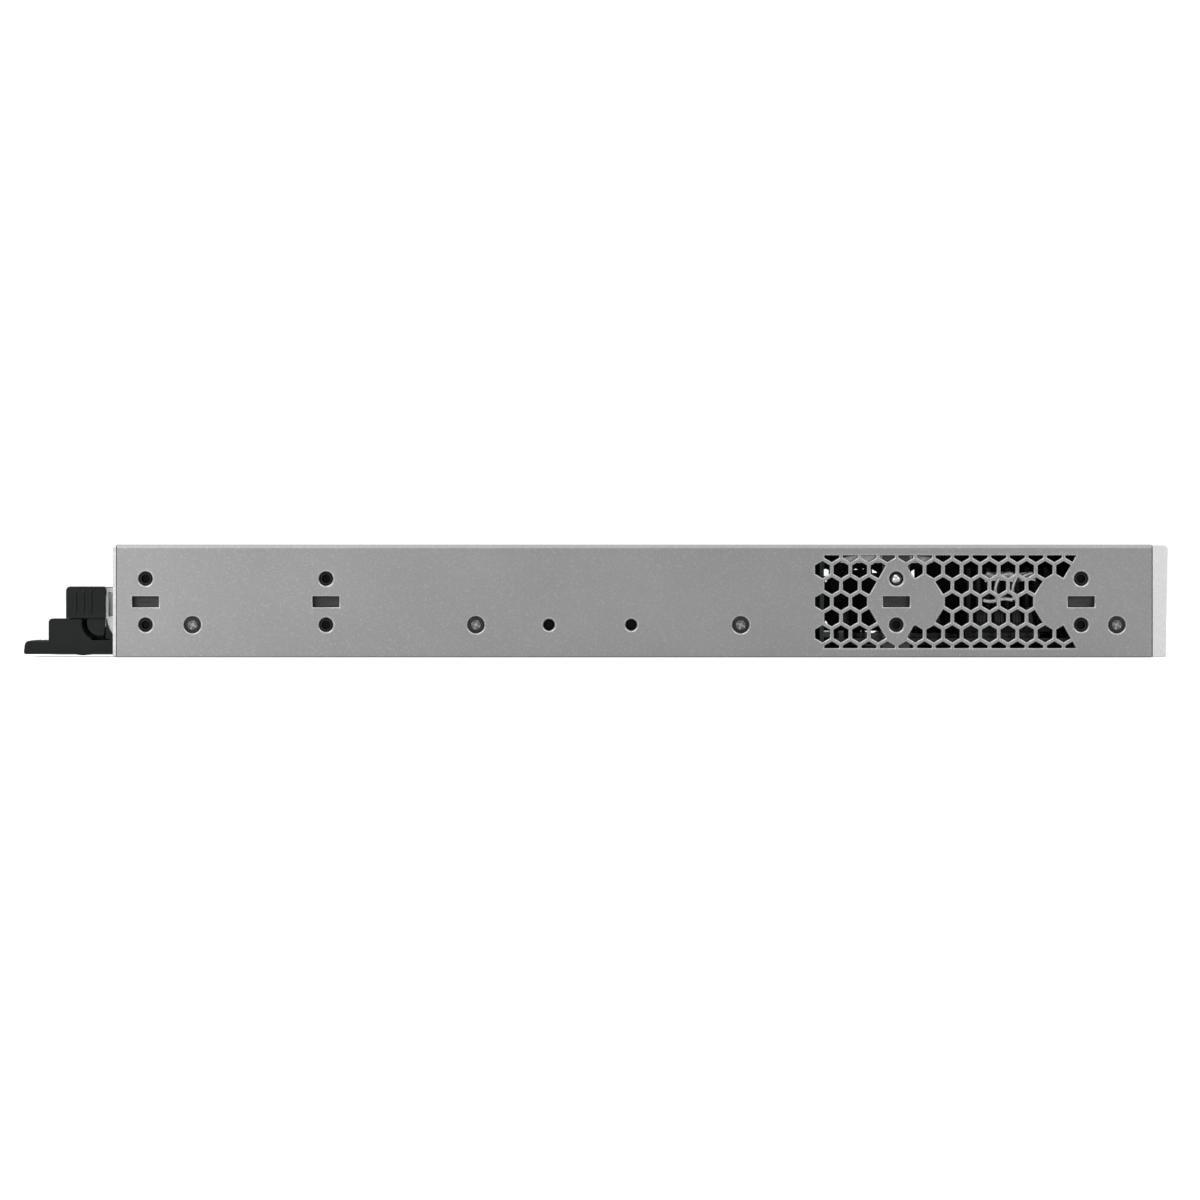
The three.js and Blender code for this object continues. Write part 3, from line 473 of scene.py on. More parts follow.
# sheet metals: dark tone, light tone, metalness, roughness, squeeze of the streaks along x, y and z
metals = {
    "zincPlatedSheet": ((0.5, 0.51, 0.52), (0.61, 0.62, 0.63), 0.6, 0.34, (60, 2, 60)),
    "nickelShield": ((0.55, 0.55, 0.54), (0.7, 0.7, 0.685), 0.9, 0.24, (2, 14, 3)),
    "darkZincScrew": ((0.03, 0.033, 0.036), (0.06, 0.064, 0.068), 0.9, 0.3, (200, 200, 200)),
    "extrudedAluminium": ((0.5, 0.5, 0.51), (0.66, 0.66, 0.67), 0.9, 0.35, (300, 1, 300)),
    # the chassis tray's steel, made dark so that the rail fixing slots and the inside read dark: painted shade
    "shadeDarkenedTraySteel": ((0.045, 0.046, 0.047), (0.085, 0.086, 0.088), 0.9, 0.42, (60, 2, 60)),
    # near-black steel for the tapped bushes: painted shade inside the fixing holes
    "holeShadeBlackSteel": ((0.008, 0.008, 0.0085), (0.02, 0.02, 0.021), 0.9, 0.35, (200, 200, 200)),
    # near-black metal for the heat sink: painted shade inside the case
    "shadeBlackenedSink": ((0.012, 0.012, 0.013), (0.03, 0.03, 0.032), 0.9, 0.4, (200, 200, 4)),
    # bright bare steel for the screw-end studs; in the screws' cross recesses the same light steel is a painted
    # highlight on the dark screw steel
    "brightStudSteelAndRecessHighlight": ((0.5, 0.51, 0.53), (0.75, 0.76, 0.78), 0.9, 0.22, (200, 200, 200)),
    # the screws' dark steel made lighter on the flat face of the head: a painted sheen
    "paintedSheenScrewFace": ((0.1, 0.105, 0.11), (0.24, 0.25, 0.26), 0.9, 0.26, (200, 200, 200)),
    "brightSpringWire": ((0.75, 0.75, 0.74), (0.9, 0.9, 0.89), 0.9, 0.16, (8, 8, 200)),
    "sleevedCan": ((0.02, 0.02, 0.022), (0.05, 0.05, 0.053), 0.9, 0.2, (100, 100, 3)),
    "goldContact": ((0.6, 0.42, 0.14), (0.78, 0.58, 0.22), 0.9, 0.25, (100, 100, 100)),
}
# plastics: dark tone, light tone, grain, roughness
plastics = {
    "blackMoulding": ((0.0035, 0.004, 0.004), (0.0065, 0.007, 0.007), 1500, 0.38),
    "connectorPlastic": ((0.008, 0.008, 0.009), (0.014, 0.014, 0.015), 900, 0.38),
    "releaseTabPlastic": ((0.16, 0.035, 0.012), (0.22, 0.055, 0.02), 1500, 0.4),
}
paint, rimHighlight, palePaint = [silverPaint(name, *look) for name, look in paints.items()]
(
    steel, shield, screwSteel, sinkMetal, shadeDarkTray, holeShadeSteel, sinkShade, brightSteelAndRecessHighlight, screwFaceSheen, brightWire,
    darkCan, gold,
) = [sheetMetal(name, *look) for name, look in metals.items()]
plastic, jackBlack, orangePlastic = [mouldedPlastic(name, *look) for name, look in plastics.items()]
board = circuitBoard("solderMask", (0.004, 0.02, 0.012), (0.01, 0.045, 0.025))
clear = clearGuide("frostedGuide", (0.62, 0.66, 0.64), (0.8, 0.83, 0.81))

slotLooks = {
    "silver_paint": paint, "pale_silver": palePaint, "zinc_steel": steel, "shield_metal": shield,
    "dark_zinc": screwSteel, "aluminium": sinkMetal, "black_plastic": plastic, "jack_plastic": jackBlack,
    "board_green": board, "clear_plastic": clear,
}
# the chassis tray takes the darkened steel in place of its slot's look: painted shade in the fixing slots
nodeLooks = {"chassis_base": shadeDarkTray, **{f"fan_{i}_release": orangePlastic for i in (1, 2, 3)}}
lookOf = {node: nodeLooks.get(node, slotLooks[slot]) for node, slot in slotOf.items()}
for node, look in lookOf.items():
    materials = frame["nodes"][node].data.materials
    materials.clear()
    materials.append(look)
print("switch: materials on", len(frame["nodes"]), "frame nodes")


# folded cover with its honeycomb vents
cover = {
    "sheet": 1.0 * mm, "bend": 1.8 * mm, "bendSteps": 10, "roundSteps": 40,
    "edges": {"vent": 0.6 * mm, "round": 0.85 * mm, "slot": 0.55 * mm},
}


# round if its points lie equally far from its middle, a slot if it is a long rectangle, and otherwise a vent cell
def loopKind(loop):
    reach = np.linalg.norm(loop - loop.mean(0), axis=1)
    long, high = np.ptp(loop, 0)
    if len(loop) >= 10 and np.ptp(reach) < 0.2 * mm:
        return "round"
    return "slot" if len(loop) == 4 and long > 2.2 * high and high > 4 * mm else "vent"


def fittedCircle(loop):
    centre = loop.mean(0)
    return centre, np.linalg.norm(loop - centre, axis=1).mean()


# one side sheet: the CAD outlines, with every opening's edge rolled inwards by a quarter circle; the rolled faces take
# the second material, a lighter copy of the silver paint that is a painted highlight
def coverSide(shape, side):
    level = side * caseHigh[0]
    loops = [anticlockwise(loop) for loop in rimLoops("top_cover", "x", level)]
    outer = loops.pop(int(np.argmax([abs(signedArea(loop)) for loop in loops])))
    outline = rectangle(*np.stack([outer.min(0), outer.max(0)], 1))
    kinds = [loopKind(loop) for loop in loops]
    print("switch: cover side", side, "openings", {kind: kinds.count(kind) for kind in set(kinds)})
    t = np.linspace(0, pi / 2, 5)
    flatHoles, rawHoles = [], []
    for loop, kind in zip(loops, kinds):
        r = cover["edges"][kind]
        if kind == "round":
            loop = circle(*fittedCircle(loop), cover["roundSteps"])
        rings = np.stack([offsetLoop(loop, r * (1 - math.sin(a))) for a in t] + [loop])
        depths = np.concatenate([r * (1 - np.cos(t)), [cover["sheet"]]])
        shape.grid(placed("x", rings, (level - side * depths)[:, None]), closeColumns=True, mark=1)
        flatHoles.append(rings[0])
        rawHoles.append(loop)
    for holes, depth in ((flatHoles, 0), (rawHoles, cover["sheet"])):
        points, faces = filled(outline, holes)
        shape.add(placed("x", points, level - side * depth), faces)
    return outline


coverShape = Shape()
edgeOutline = [coverSide(coverShape, side) for side in (-1, 1)][0]
bendZ, yEnds = edgeOutline[2, 1], edgeOutline[[0, 2], 0]


# the section over the top: quarter circles at both bends, at the outer or the inner radius, and straight between
def overTop(inset):
    r = cover["bend"] - inset
    left = polar((caseLow[0] + cover["bend"], bendZ), r, pi - np.linspace(0, pi / 2, cover["bendSteps"]))
    return np.concatenate([left, (left * [-1, 1])[::-1]])


for half in (overTop(0), overTop(cover["sheet"])):
    coverShape.grid(np.stack([placed("y", half, y) for y in yEnds]))
section = np.concatenate([overTop(0), overTop(cover["sheet"])[::-1]])
n = len(section) // 2
for y in yEnds:
    coverShape.add(placed("y", section, y), [[i, i + 1, 2 * n - 2 - i, 2 * n - 1 - i] for i in range(n - 1)])
# the cut edges of each side sheet, along its foot and up its two ends
for side in (-1, 1):
    thickness = side * np.array([caseHigh[0], caseHigh[0] - cover["sheet"]])
    for ends in ([0, 1], [0, 3], [1, 2]):
        coverShape.grid(placed("x", np.repeat(edgeOutline[ends][:, None], 2, 1), thickness))
# the second material, on the rolled edges, is the lighter rim paint: a painted highlight
finished("coverShell", coverShape, paint, "chassis", ["top_cover"], 50, second=rimHighlight)
print("switch: cover")

# countersunk cross-head screws; lengths in millimetres, shares of the head's radius
screw = {
    "rings": 28, "steps": 96, "turn": 0.4, "recess": 1.25, "arm": 1.75, "armHalf": 0.42, "armWall": 0.12,
    "rim": 0.25, "rimDrop": 0.2, "faceShare": 0.66, "recessShare": 0.75,
    "shank": [(1.9, 1.0), (1.45, 1.1), (1.4, 3.9), (0, 3.9)],
}


# the head is a height field over (radius, angle): a flat disc with a rounded rim, cut by a cross whose arms narrow
# and grow shallow outwards
def screwHead(shape, faceShape, recessShape, centre, faceX, side, headRadius):
    radius = np.linspace(0, 1, screw["rings"]) ** 0.85 * headRadius
    r, a = np.meshgrid(radius, fullTurn(screw["steps"]) + screw["turn"], indexing="ij")
    u, v = np.abs(r * np.cos(a - screw["turn"])), np.abs(r * np.sin(a - screw["turn"]))
    across, along = np.minimum(u, v), np.maximum(u, v)
    reach = np.clip(1 - along / screw["arm"], 0, 1)
    inArm = np.clip((screw["armHalf"] * (0.55 + 0.45 * reach) - across) / screw["armWall"], 0, 1)
    depth = inArm * screw["recess"] * np.clip(reach * 2.2, 0, 1)
    depth = depth + np.clip((r - headRadius + screw["rim"]) / screw["rim"], 0, 1) ** 2 * screw["rimDrop"]
    points = placed("x", polar(centre, r, a), faceX - side * depth) * mm
    quads = np.array(Shape().grid(points, closeColumns=True).faces)
    low = (depth.ravel() > 0.02) & (r.ravel() < headRadius * screw["recessShare"])
    inRecess = low[quads].any(1)
    onFace = ~inRecess & (r.ravel() < headRadius * screw["faceShare"])[quads].all(1)
    # the cross recess and the flat face take lighter copies of the screw's steel: a painted highlight and a painted
    # sheen
    for part, chosen in ((recessShape, inRecess), (faceShape, onFace), (shape, ~inRecess & ~onFace)):
        part.add(points, quads[chosen])
    profile = np.array([(headRadius, screw["rimDrop"]), *screw["shank"]])
    turned(shape, "x", centre, profile * [1, -side] + [0, faceX], screw["steps"])


screwShape, faceShape, recessShape = Shape(), Shape(), Shape()
screwNodes = [f"cover_screw_{word}_{i}" for word in ("left", "right") for i in range(1, 5)]
for node in screwNodes:
    low, high = boxOf(node)
    side = -1 if low[0] < 0 else 1
    faceX = low[0] if side < 0 else high[0]
    screwHead(screwShape, faceShape, recessShape, (low + high)[1:] / 2, faceX, side, (high - low)[1] / 2)
finished("coverScrews", screwShape, screwSteel, "chassis", screwNodes, smoothAngle=60)
# lighter copies of the screw steel on the face and in the recess: painted sheen and painted highlight
finished("screwFaces", faceShape, screwFaceSheen, "chassis", smoothAngle=60, recalc=False)
finished("screwRecesses", recessShape, brightSteelAndRecessHighlight, "chassis", smoothAngle=60, recalc=False)
print("switch: screws")

# tapped bushes behind the rail fixing holes, in near-black steel that paints the shade inside the holes
bush = {"wall": 0.75, "depth": 3.9, "pitch": 0.7, "thread": 0.16, "steps": 40, "rings": 46, "largest": 2.95}


# a bush is a flare that narrows from the cover's hole to the bore, then a bore whose radius ripples with depth and
# angle as a screw thread does
def tappedBush(shape, centre, side, outer, bore):
    face = side * (caseHigh[0] - cover["sheet"] * 0.75) / mm
    flare = [0, 0.12, 0.4, 0.55]
    depth = np.concatenate([flare[:3], np.linspace(flare[3], bush["depth"], bush["rings"])])
    base = np.interp(depth, flare, [outer, outer - 0.1, bore + 0.12, bore])
    d, a = np.meshgrid(depth, fullTurn(bush["steps"]), indexing="ij")
    threaded = np.clip((d - 0.6) / 0.3, 0, 1)
    r = base[:, None] + threaded * bush["thread"] * np.abs(2 * ((d / bush["pitch"] + a / (2 * pi)) % 1) - 1)
    shape.grid(placed("x", polar(centre, r, a), face - side * d) * mm, closeColumns=True)
    back, wide = bush["depth"], bore + bush["wall"]
    wall = [(0, back - 0.1), (bore + 0.2, back), (wide, back), (wide, 0.5), (outer, 0.2), (outer, 0)]
    turned(shape, "x", centre, np.array(wall) * [1, -side] + [0, face], bush["steps"])


bushShape = Shape()
for side in (-1, 1):
    for loop in rimLoops("top_cover", "x", side * caseHigh[0]):
        centre, radius = (value / mm for value in fittedCircle(loop))
        if loopKind(loop) == "round" and radius <= bush["largest"]:
            tappedBush(bushShape, centre, side, radius - 0.01, radius - (0.62 if radius > 2.4 else 0.55))
finished("tappedBushes", bushShape, holeShadeSteel, "chassis", smoothAngle=45)

# a screw end stands in one bush on each side: over (radius, angle) its depth is a dome with three lobes
stud = {
    "place": (-117.5, 30.6), "radius": 1.95, "back": 3.0, "steps": 36,
    "depth": 0.5, "dome": 0.9, "lobes": 3, "lobeDepth": 0.3,
}
studShape = Shape()
for side in (-1, 1):
    r, a = np.meshgrid(np.linspace(0, 1, 12), fullTurn(stud["steps"]), indexing="ij")
    depth = stud["depth"] + stud["dome"] * r**3 + stud["lobeDepth"] * r * np.sin(stud["lobes"] * a + 0.6)
    flat = polar(stud["place"], stud["radius"] * r, a)
    depth, flat = np.vstack([depth, 0 * depth[:1] + stud["back"]]), np.concatenate([flat, flat[-1:]])
    points = placed("x", flat, side * (caseHigh[0] / mm - depth)) * mm
    studShape.grid(points, closeColumns=True).add(points[-1], [list(range(stud["steps"]))])
finished("bushStuds", studShape, brightSteelAndRecessHighlight, "chassis", smoothAngle=70)
print("switch: tapped bushes")


# softened copies of frame nodes, with their body and the finish of their slot: the triangles of each are merged, flat
# ones joined, and sharp edges bevelled by a width in millimetres
def softened(name, nodes, width):
    work = bmesh.new()
    for node in nodes:
        work.from_mesh(frame["nodes"][node].data)
    bmesh.ops.remove_doubles(work, verts=work.verts, dist=meshing["merge"])
    flat, sharp = math.radians(meshing["flat"]), math.radians(meshing["sharp"])
    bmesh.ops.dissolve_limit(work, angle_limit=flat, verts=work.verts, edges=work.edges)
    for face in work.faces:
        face.smooth = True
    for edge in work.edges:
        edge.smooth = len(edge.link_faces) == 2 and edge.calc_face_angle(0) < sharp
    mesh = bpy.data.meshes.new(name)
    work.to_mesh(mesh)
    work.free()
    mesh.materials.append(lookOf[nodes[0]])
    return dressed(name, mesh, bodyOf[nodes[0]], nodes, width * mm)


# power supply handles and latch pads: places along the case and up, and distances across from the supply's middle
handle = {
    "across": (-40.2, -3.0), "blockAcross": -28.6, "scoopAcross": -32.2, "edge": 0.35, "tip": 223.5,
    "face": 188.3, "tongue": (1.2, 6.5), "blockTop": 15.2, "blockEnd": 213.7, "corner": 1.5,
    "flank": [(191.4, 15.2), (190.9, 13.2), (190.1, 11.0), (189.3, 9.5), (188.3, 8.3)],
    "horn": [(188.3, 7.2), (191.25, 7.2), (191.25, 15), (191, 15), (190.75, 13.4), (189.8, 10.8), (188.3, 8.5)],
    "post": [(191.9, 12.4, 0), (206.5, 12.4, 0), (206.5, 27.1, 1.6), (191.9, 27.1, 1.0)], "postAcross": -32,
    "bump": (201.9, 11.2), "bumpRadius": 10.6, "bumpBack": [(205.6, 2.0), (198.2, 2.0)],
    "bumpAcross": (-24, -12), "rolls": (216.2, 218.4, 220.6), "rollAcross": (-37, -6),
    "scoop": (193.5, 13.5), "scoopRadius": 7.6, "scoopFloor": 5.7, "scoopDepth": 7,
}
pad = {
    "outline": [(191.4, 15.26, 0), (206.8, 15.26, 0), (206.8, 27.7, 1.9), (191.4, 27.7, 1.1)],
    "across": (-41.0, -36.6), "lobe": 5.2, "lobeFoot": (191.4, 16.2), "ribs": (197.1, 200.1, 203.1),
    "ribHalf": 0.62, "ribProud": 0.66, "ribMiddle": 21.6, "ribReach": 5.1,
}


# plates side by side: the tongue, the block whole and then with the scoop bitten out, the horn, the post that
# carries the pad, and the bump below
def supplyHandle(shape, centre):
    low, high = handle["tongue"]
    face, tip, top, blockEnd = (handle[key] for key in ("face", "tip", "blockTop", "blockEnd"))
    outside, scoop, radius = handle["across"][0], handle["scoop"], handle["scoopRadius"]

    def layer(outline, start, end, edge=handle["edge"]):
        slab(shape, "x", outline, centre + start, centre + end, edge)

    tongue = rounded([(face, low, 0), (tip, low, 1.1), (tip - 0.6, high, 2.0), (face, high, 0)])
    layer(tongue, *handle["across"], 0.45)
    corner = arc((blockEnd - handle["corner"], top - handle["corner"]), handle["corner"], 0, 90, 6)
    block = [[(face, high - 0.6), (blockEnd, high - 0.6)], corner]
    layer(np.concatenate([*block, handle["flank"]]), handle["scoopAcross"], handle["blockAcross"])
    bite = [arc(scoop, radius, 12.9, -64.0, 16), arc(scoop, radius, -115.5, -132.5, 4)]
    layer(np.concatenate([*block, *bite]), outside, handle["scoopAcross"] + 0.4, 0.3)
    layer(handle["horn"], outside, outside + 0.75, 0.08)
    # the scoop's wall narrows inwards, from the radius at its mouth to the one at its floor
    t, mouth, lip = np.linspace(0, 1, 8), radius - 0.25, outside + 0.12
    reach = np.append(mouth + (handle["scoopFloor"] - mouth) * np.sin(t * pi / 2), [radius + 1, radius + 1])
    across = np.append(lip + handle["scoopDepth"] * t**1.1, [lip + handle["scoopDepth"], lip])
    angle = np.radians(np.linspace(11, -62, 24))[:, None]
    shape.tube(placed("x", polar(scoop, reach, angle), centre + across) * mm)
    layer(rounded(handle["post"]), handle["postAcross"], handle["blockAcross"])
    bump = arc(handle["bump"], handle["bumpRadius"], 249, 291, 12)
    layer(np.concatenate([bump, handle["bumpBack"]]), *handle["bumpAcross"], 0.15)
    # low grip rolls across the tongue, behind the block
    for y in handle["rolls"]:
        t = np.linspace(0, pi, 8)
        roll = np.stack([y + 0.5 * np.cos(t), high - 0.1 + 0.25 * np.sin(t)], 1)
        foot = [(y - 0.5, high - 0.4), (y + 0.5, high - 0.4)]
        layer(np.concatenate([roll, foot]), *handle["rollAcross"], 0)


# a rounded block and a round lobe; a rib is half an ellipse across, its ends brought down by the root of 1 - s^6
def latchPad(shape, centre):
    start, end = centre + np.array(pad["across"])
    slab(shape, "x", rounded(pad["outline"]), start, end, 0.4)
    lobe = arc(handle["scoop"], pad["lobe"], 26, -108, 28)
    slab(shape, "x", np.concatenate([lobe, [pad["lobeFoot"]]]), start + 0.8, end, 0.35)
    s, angle = np.linspace(-1, 1, 17)[:, None], np.linspace(0, pi, 9)
    height = np.sqrt(np.clip(1 - s**6, 0, 1))
    wide, up = pad["ribHalf"] * (0.25 + 0.75 * height) * np.cos(angle), pad["ribMiddle"] + pad["ribReach"] * s
    for y in pad["ribs"]:
        flat = np.stack([y + wide, up + 0 * angle], -1)
        shape.tube(placed("x", flat, start + 0.1 - pad["ribProud"] * height * np.sin(angle)) * mm)


for number in (1, 2):
    supplyCentre = middleOf(f"psu_{number}_housing")[0]
    handleShape, padShape = Shape(), Shape()
    supplyHandle(handleShape, supplyCentre)
    latchPad(padShape, supplyCentre)
    supply, latch = f"power_supply_{number}", f"psu_{number}_latch"
    finished(f"supplyHandle{number}", handleShape, plastic, supply, [f"psu_{number}_handle"], 40)
    finished(f"latchPad{number}", padShape, plastic, latch, [f"{latch}_pad"], 40)
    softened(f"latchLeaf{number}", [f"{latch}_leaf"], 0.12)
print("switch: power supply handles and latch pads")

# what shows through the side vents: an air guide with slits and ribs, a black sheet that stands in for the shade
# inside the case
inside = {
    "wallX": -150.0, "wall": 1.2, "wallY": (-212.0, -84.6), "wallZ": (9.9, 41.5), "eye": (-2.0, 22.4),
    "spread": 1.038, "ribs": (-196, -182, -140, -128, -116, -99), "ribX": (-149.2, -140),
    "footX": (-149.2, -139), "footY": (-211, -85),
    "slits": [
        (-92.3, -89.8, 13.0, 30.2), (-91.2, -86.6, 31.8, 34.5), (-107.6, -92.0, 34.2, 34.6),
        (-111.0, -108.1, 33.0, 34.3), (-124.6, -122.9, 31.2, 34.6),
    ],
}


# a slit in the air guide: a rectangle of the side sheet carried inwards to eye + (corner - eye) * spread
def slit(yStart, yEnd, zStart, zEnd):
    corners = rectangle((yStart, yEnd), (zStart, zEnd))
    return (inside["eye"] + (corners - inside["eye"]) * inside["spread"]) * mm


guideShape = Shape()
zLow, zHigh = inside["wallZ"]
wallStart, wallEnd = inside["wallX"] * mm, (inside["wallX"] + inside["wall"]) * mm
slits = [slit(*patch) for patch in inside["slits"]]
wall = rectangle(inside["wallY"], inside["wallZ"]) * mm
plate(guideShape, "x", wall, slits, wallStart, wallEnd, 0.2 * mm, 2, 0)
for y in inside["ribs"]:
    slab(guideShape, "z", rectangle(inside["ribX"], (y, y + inside["wall"])), zLow + 1, zHigh - 2, 0.15, 2)
slab(guideShape, "z", rectangle(inside["footX"], inside["footY"]), zLow, zLow + inside["wall"], 0.15, 2)
# the black sheet paints the shade behind the vents; its slits let the backdrop show through
finished("shadeSheetBehindVents", guideShape, jackBlack, "chassis")

# heat sink, near-black in place of its slot's aluminium so that it paints the shade inside the case: a base plate and
# pin fins, each fin a rounded square column
sink = {"x": (-211, -166), "y": (-178.6, -144.4), "base": (9.9, 13.0), "top": 35, "pin": 1.5, "pitch": (4.4, 3.8)}
sinkShape, pinShape, half = Shape(), Shape(), sink["pin"] / 2
base = rounded([(*corner, 0.6) for corner in rectangle(sink["x"], sink["y"])])
slab(sinkShape, "z", base, *sink["base"], 0.2, 2)
slab(pinShape, "z", rectangle((-half, half), (-half, half)), sink["base"][1] - 0.2, sink["top"], 0.15, 1)
pinX, pinY = (np.arange(sink[way][0] + 1.5, sink[way][1] - 1, step) for way, step in zip("xy", sink["pitch"]))
sinkShape.copies(pinShape, [(x * mm, y * mm, 0) for x in pinX for y in pinY])
finished("processorHeatSink", sinkShape, sinkShade, "chassis", ["processor_heatsink"])

# sprung wire clip across the heat sink, and a bright steel band beside the vents
clip = {
    "x": -213.2, "bar": (-171.0, -153.4), "barZ": 32.2, "barWire": 0.8, "legs": (-158.6, -165.4),
    "legWire": 0.75, "lower": (-163.5, -152.1), "lowerZ": 22.3, "lowerWire": 0.85,
    "band": (-173.0, -152.8), "bandZ": 31.4,
}


def strand(x, y, z):
    return np.stack(np.broadcast_arrays(x, y, z), -1) * mm


def wire(shape, path, radius):
    swept(shape, path, circle((0, 0), radius * mm, 10), up=(1, 0, 0.01))


# the bar rises and falls as a cosine and the lower wire as a sine; a leg curls down as 1.7 sin(2.6 t), its height
# falling with t; the band is a flat strip whose path ripples in and out, so that it shines in patches
clipShape = Shape()
t, x = np.linspace(0, 1, 26), clip["x"]
bar = strand(x, np.linspace(*clip["bar"], 26), clip["barZ"] + 0.7 * np.cos(4 * pi * t))
wire(clipShape, bar, clip["barWire"])
ripple = x + 1.5 + 0.7 * np.sin(9 * t) + 0.35 * np.sin(23 * t + 1)
band = strand(ripple, np.linspace(*clip["band"], 26), clip["bandZ"] + 0.35 * np.sin(11 * t))
swept(clipShape, band, roundRect((-0.3 * mm, 0.3 * mm), (-1.7 * mm, 1.7 * mm), 0.25 * mm, 3))
for leg in clip["legs"]:
    curl = strand(x - 0.4 + 0.6 * np.sin(pi * t), leg + 1.7 * np.sin(2.6 * t), 31.6 - 9.2 * t)
    wire(clipShape, curl, clip["legWire"])
lower = strand(x, np.linspace(*clip["lower"], 26), clip["lowerZ"] + 0.5 * np.sin(2 * pi * t))
wire(clipShape, lower, clip["lowerWire"])
finished("sinkClip", clipShape, brightWire, "chassis", (), 60)

# can capacitors in two rows on the board: straight can, crimped near the foot, bevelled top
cans = {
    "near": (-151.4, -158.5, -165.6, -170.9), "nearX": -211.5, "far": (-134.5, -127.4, -98.2), "farX": -202.5,
    "radius": 3.1, "foot": 9.9, "top": 19.6, "farShare": 0.8,
}
canShape = Shape()
r, z, top = cans["radius"], cans["foot"], cans["top"]
profile = np.array([
    (0, z + 1.5), (r, z + 1.5), (r, z + 2.2), (r - 0.3, z + 2.6), (r, z + 3.0),
    (r, top - 0.6), (r - 0.4, top), (0, top),
])
for y in cans["near"]:
    turned(canShape, "z", (cans["nearX"], y), profile, 24)
for y in cans["far"]:
    turned(canShape, "z", (cans["farX"], y), profile * [cans["farShare"], 1], 24)
finished("canCapacitors", canShape, darkCan, "chassis", (), 50)

# folded sheet strip under the cover's edge, seen through the top row of vents
rail = {
    "x": (-218.6, -217.9),
    "outline": [(-132, 36.9), (-96, 36.9), (-96, 38.9), (-104, 40.6), (-117, 40.6), (-132, 39.2)],
}
finished("topRail", slab(Shape(), "x", rail["outline"], *rail["x"], 0.15, 2), shield, "chassis")
print("switch: parts behind the vents")

# fans
fanLook = {
    "hub": 7.9, "tip": 15.2, "root": 7.4, "blades": 7, "pitch": 46.0, "twist": 20.0, "chord": 12.4,
    "thick": 1.05, "camber": 1.1, "sweep": 14.0,
}


# a rotor: a domed hub, and blades whose section is a cambered wing, turned by (pitch - twist * s) and swept back
# by sweep * s, where s runs from 0 at the root to 1 at the tip
def fanRotor(shape, centre, front, back):
    hub, root, middle = fanLook["hub"], fanLook["root"], (front + back) / 2
    dome = [(0, front + 0.2), (hub - 1.6, front + 0.2), (hub - 0.5, front + 0.6), (hub, front + 1.6)]
    turned(shape, "y", centre, dome + [(hub, back - 0.5), (hub - 0.5, back), (0, back)], 40)
    s, u = np.linspace(0, 1, 9)[:, None], fullTurn(16)
    chordwise = np.cos(u) / 2
    thickness = 0.5 * fanLook["thick"] * np.sin(u) * (1.1 - 0.55 * np.cos(u))
    wing = thickness + fanLook["camber"] * (0.25 - chordwise**2) * 4
    lean = np.radians(fanLook["pitch"] - fanLook["twist"] * s)
    chord = fanLook["chord"] * (1 - 0.12 * (2 * s - 1) ** 2)
    along = chord * chordwise * np.cos(lean) - wing * np.sin(lean)
    axial = chord * chordwise * np.sin(lean) + wing * np.cos(lean)
    radius = root + (fanLook["tip"] - root) * s + 0 * along
    axial = np.clip(axial, front + 0.3 - middle, back - 0.3 - middle)
    for blade in range(fanLook["blades"]):
        turn = 2 * pi * blade / fanLook["blades"] + np.radians(fanLook["sweep"]) * s + along / radius
        shape.tube(placed("y", polar(centre, radius, turn), middle + axial) * mm)


# each fan: the first words of its nodes, the body that carries it, and the names of its two pieces
fans = [(f"fan_{i}", f"fan_{i}_module", f"fanRotor{i}", f"fanGuard{i}") for i in (1, 2, 3)]
fans += [(f"psu_{i}_fan", f"power_supply_{i}", f"supplyFanRotor{i}", f"supplyGuard{i}") for i in (1, 2)]
for node, _, name, _ in fans:
    low, high = boxOf(f"{node}_rotor")
    rotorShape = Shape()
    fanRotor(rotorShape, middleOf(f"{node}_frame")[[0, 2]], low[1], high[1])
    finished(name, rotorShape, plastic, f"{node}_rotor", [f"{node}_rotor"], 40)
print("switch: fan rotors")

# gold contacts in every jack
contact = {
    "pitch": 1.02, "width": 0.42, "half": 0.12, "rows": ((-1, 15.8), (1, 27.8)), "perJack": 8, "jackPitch": 14,
    "path": [(12.6, -3.6), (5.6, -3.6), (4.6, -3.35), (4.2, -3.0), (9.6, 0.3), (10.0, 0.35)],
}


# a contact is a flat wire along (depth, height) points: out along the jack's floor, round a bend near its mouth,
# then back inwards and up at about 30 degrees
def contactShape(up, out):
    depth, height = np.array(contact["path"]).T[:, :, None]
    across = contact["width"] / 2 * np.array([-1, -1, 1, 1])
    lift = contact["half"] * np.array([-1, 1, 1, -1])
    return Shape().tube(strand(across, out * depth, up * (height + lift)))


contactsShape = Shape()
for node, out, columns in (("jack_bank_left", 1, 6), ("jack_bank_right", 1, 6), ("management_jacks", -1, 1)):
    mouth, middle = boxOf(node)[0 if out > 0 else 1][1], middleOf(node)[0]
    jack = (np.arange(columns) - (columns - 1) / 2) * contact["jackPitch"]
    pin = (np.arange(contact["perJack"]) - (contact["perJack"] - 1) / 2) * contact["pitch"]
    for up, z in contact["rows"]:
        places = strand(middle + (jack[:, None] + pin).ravel(), mouth, z)
        contactsShape.copies(contactShape(up, out), places)
finished("jackContacts", contactsShape, gold, "chassis", (), 20)
print("switch: jack contacts")

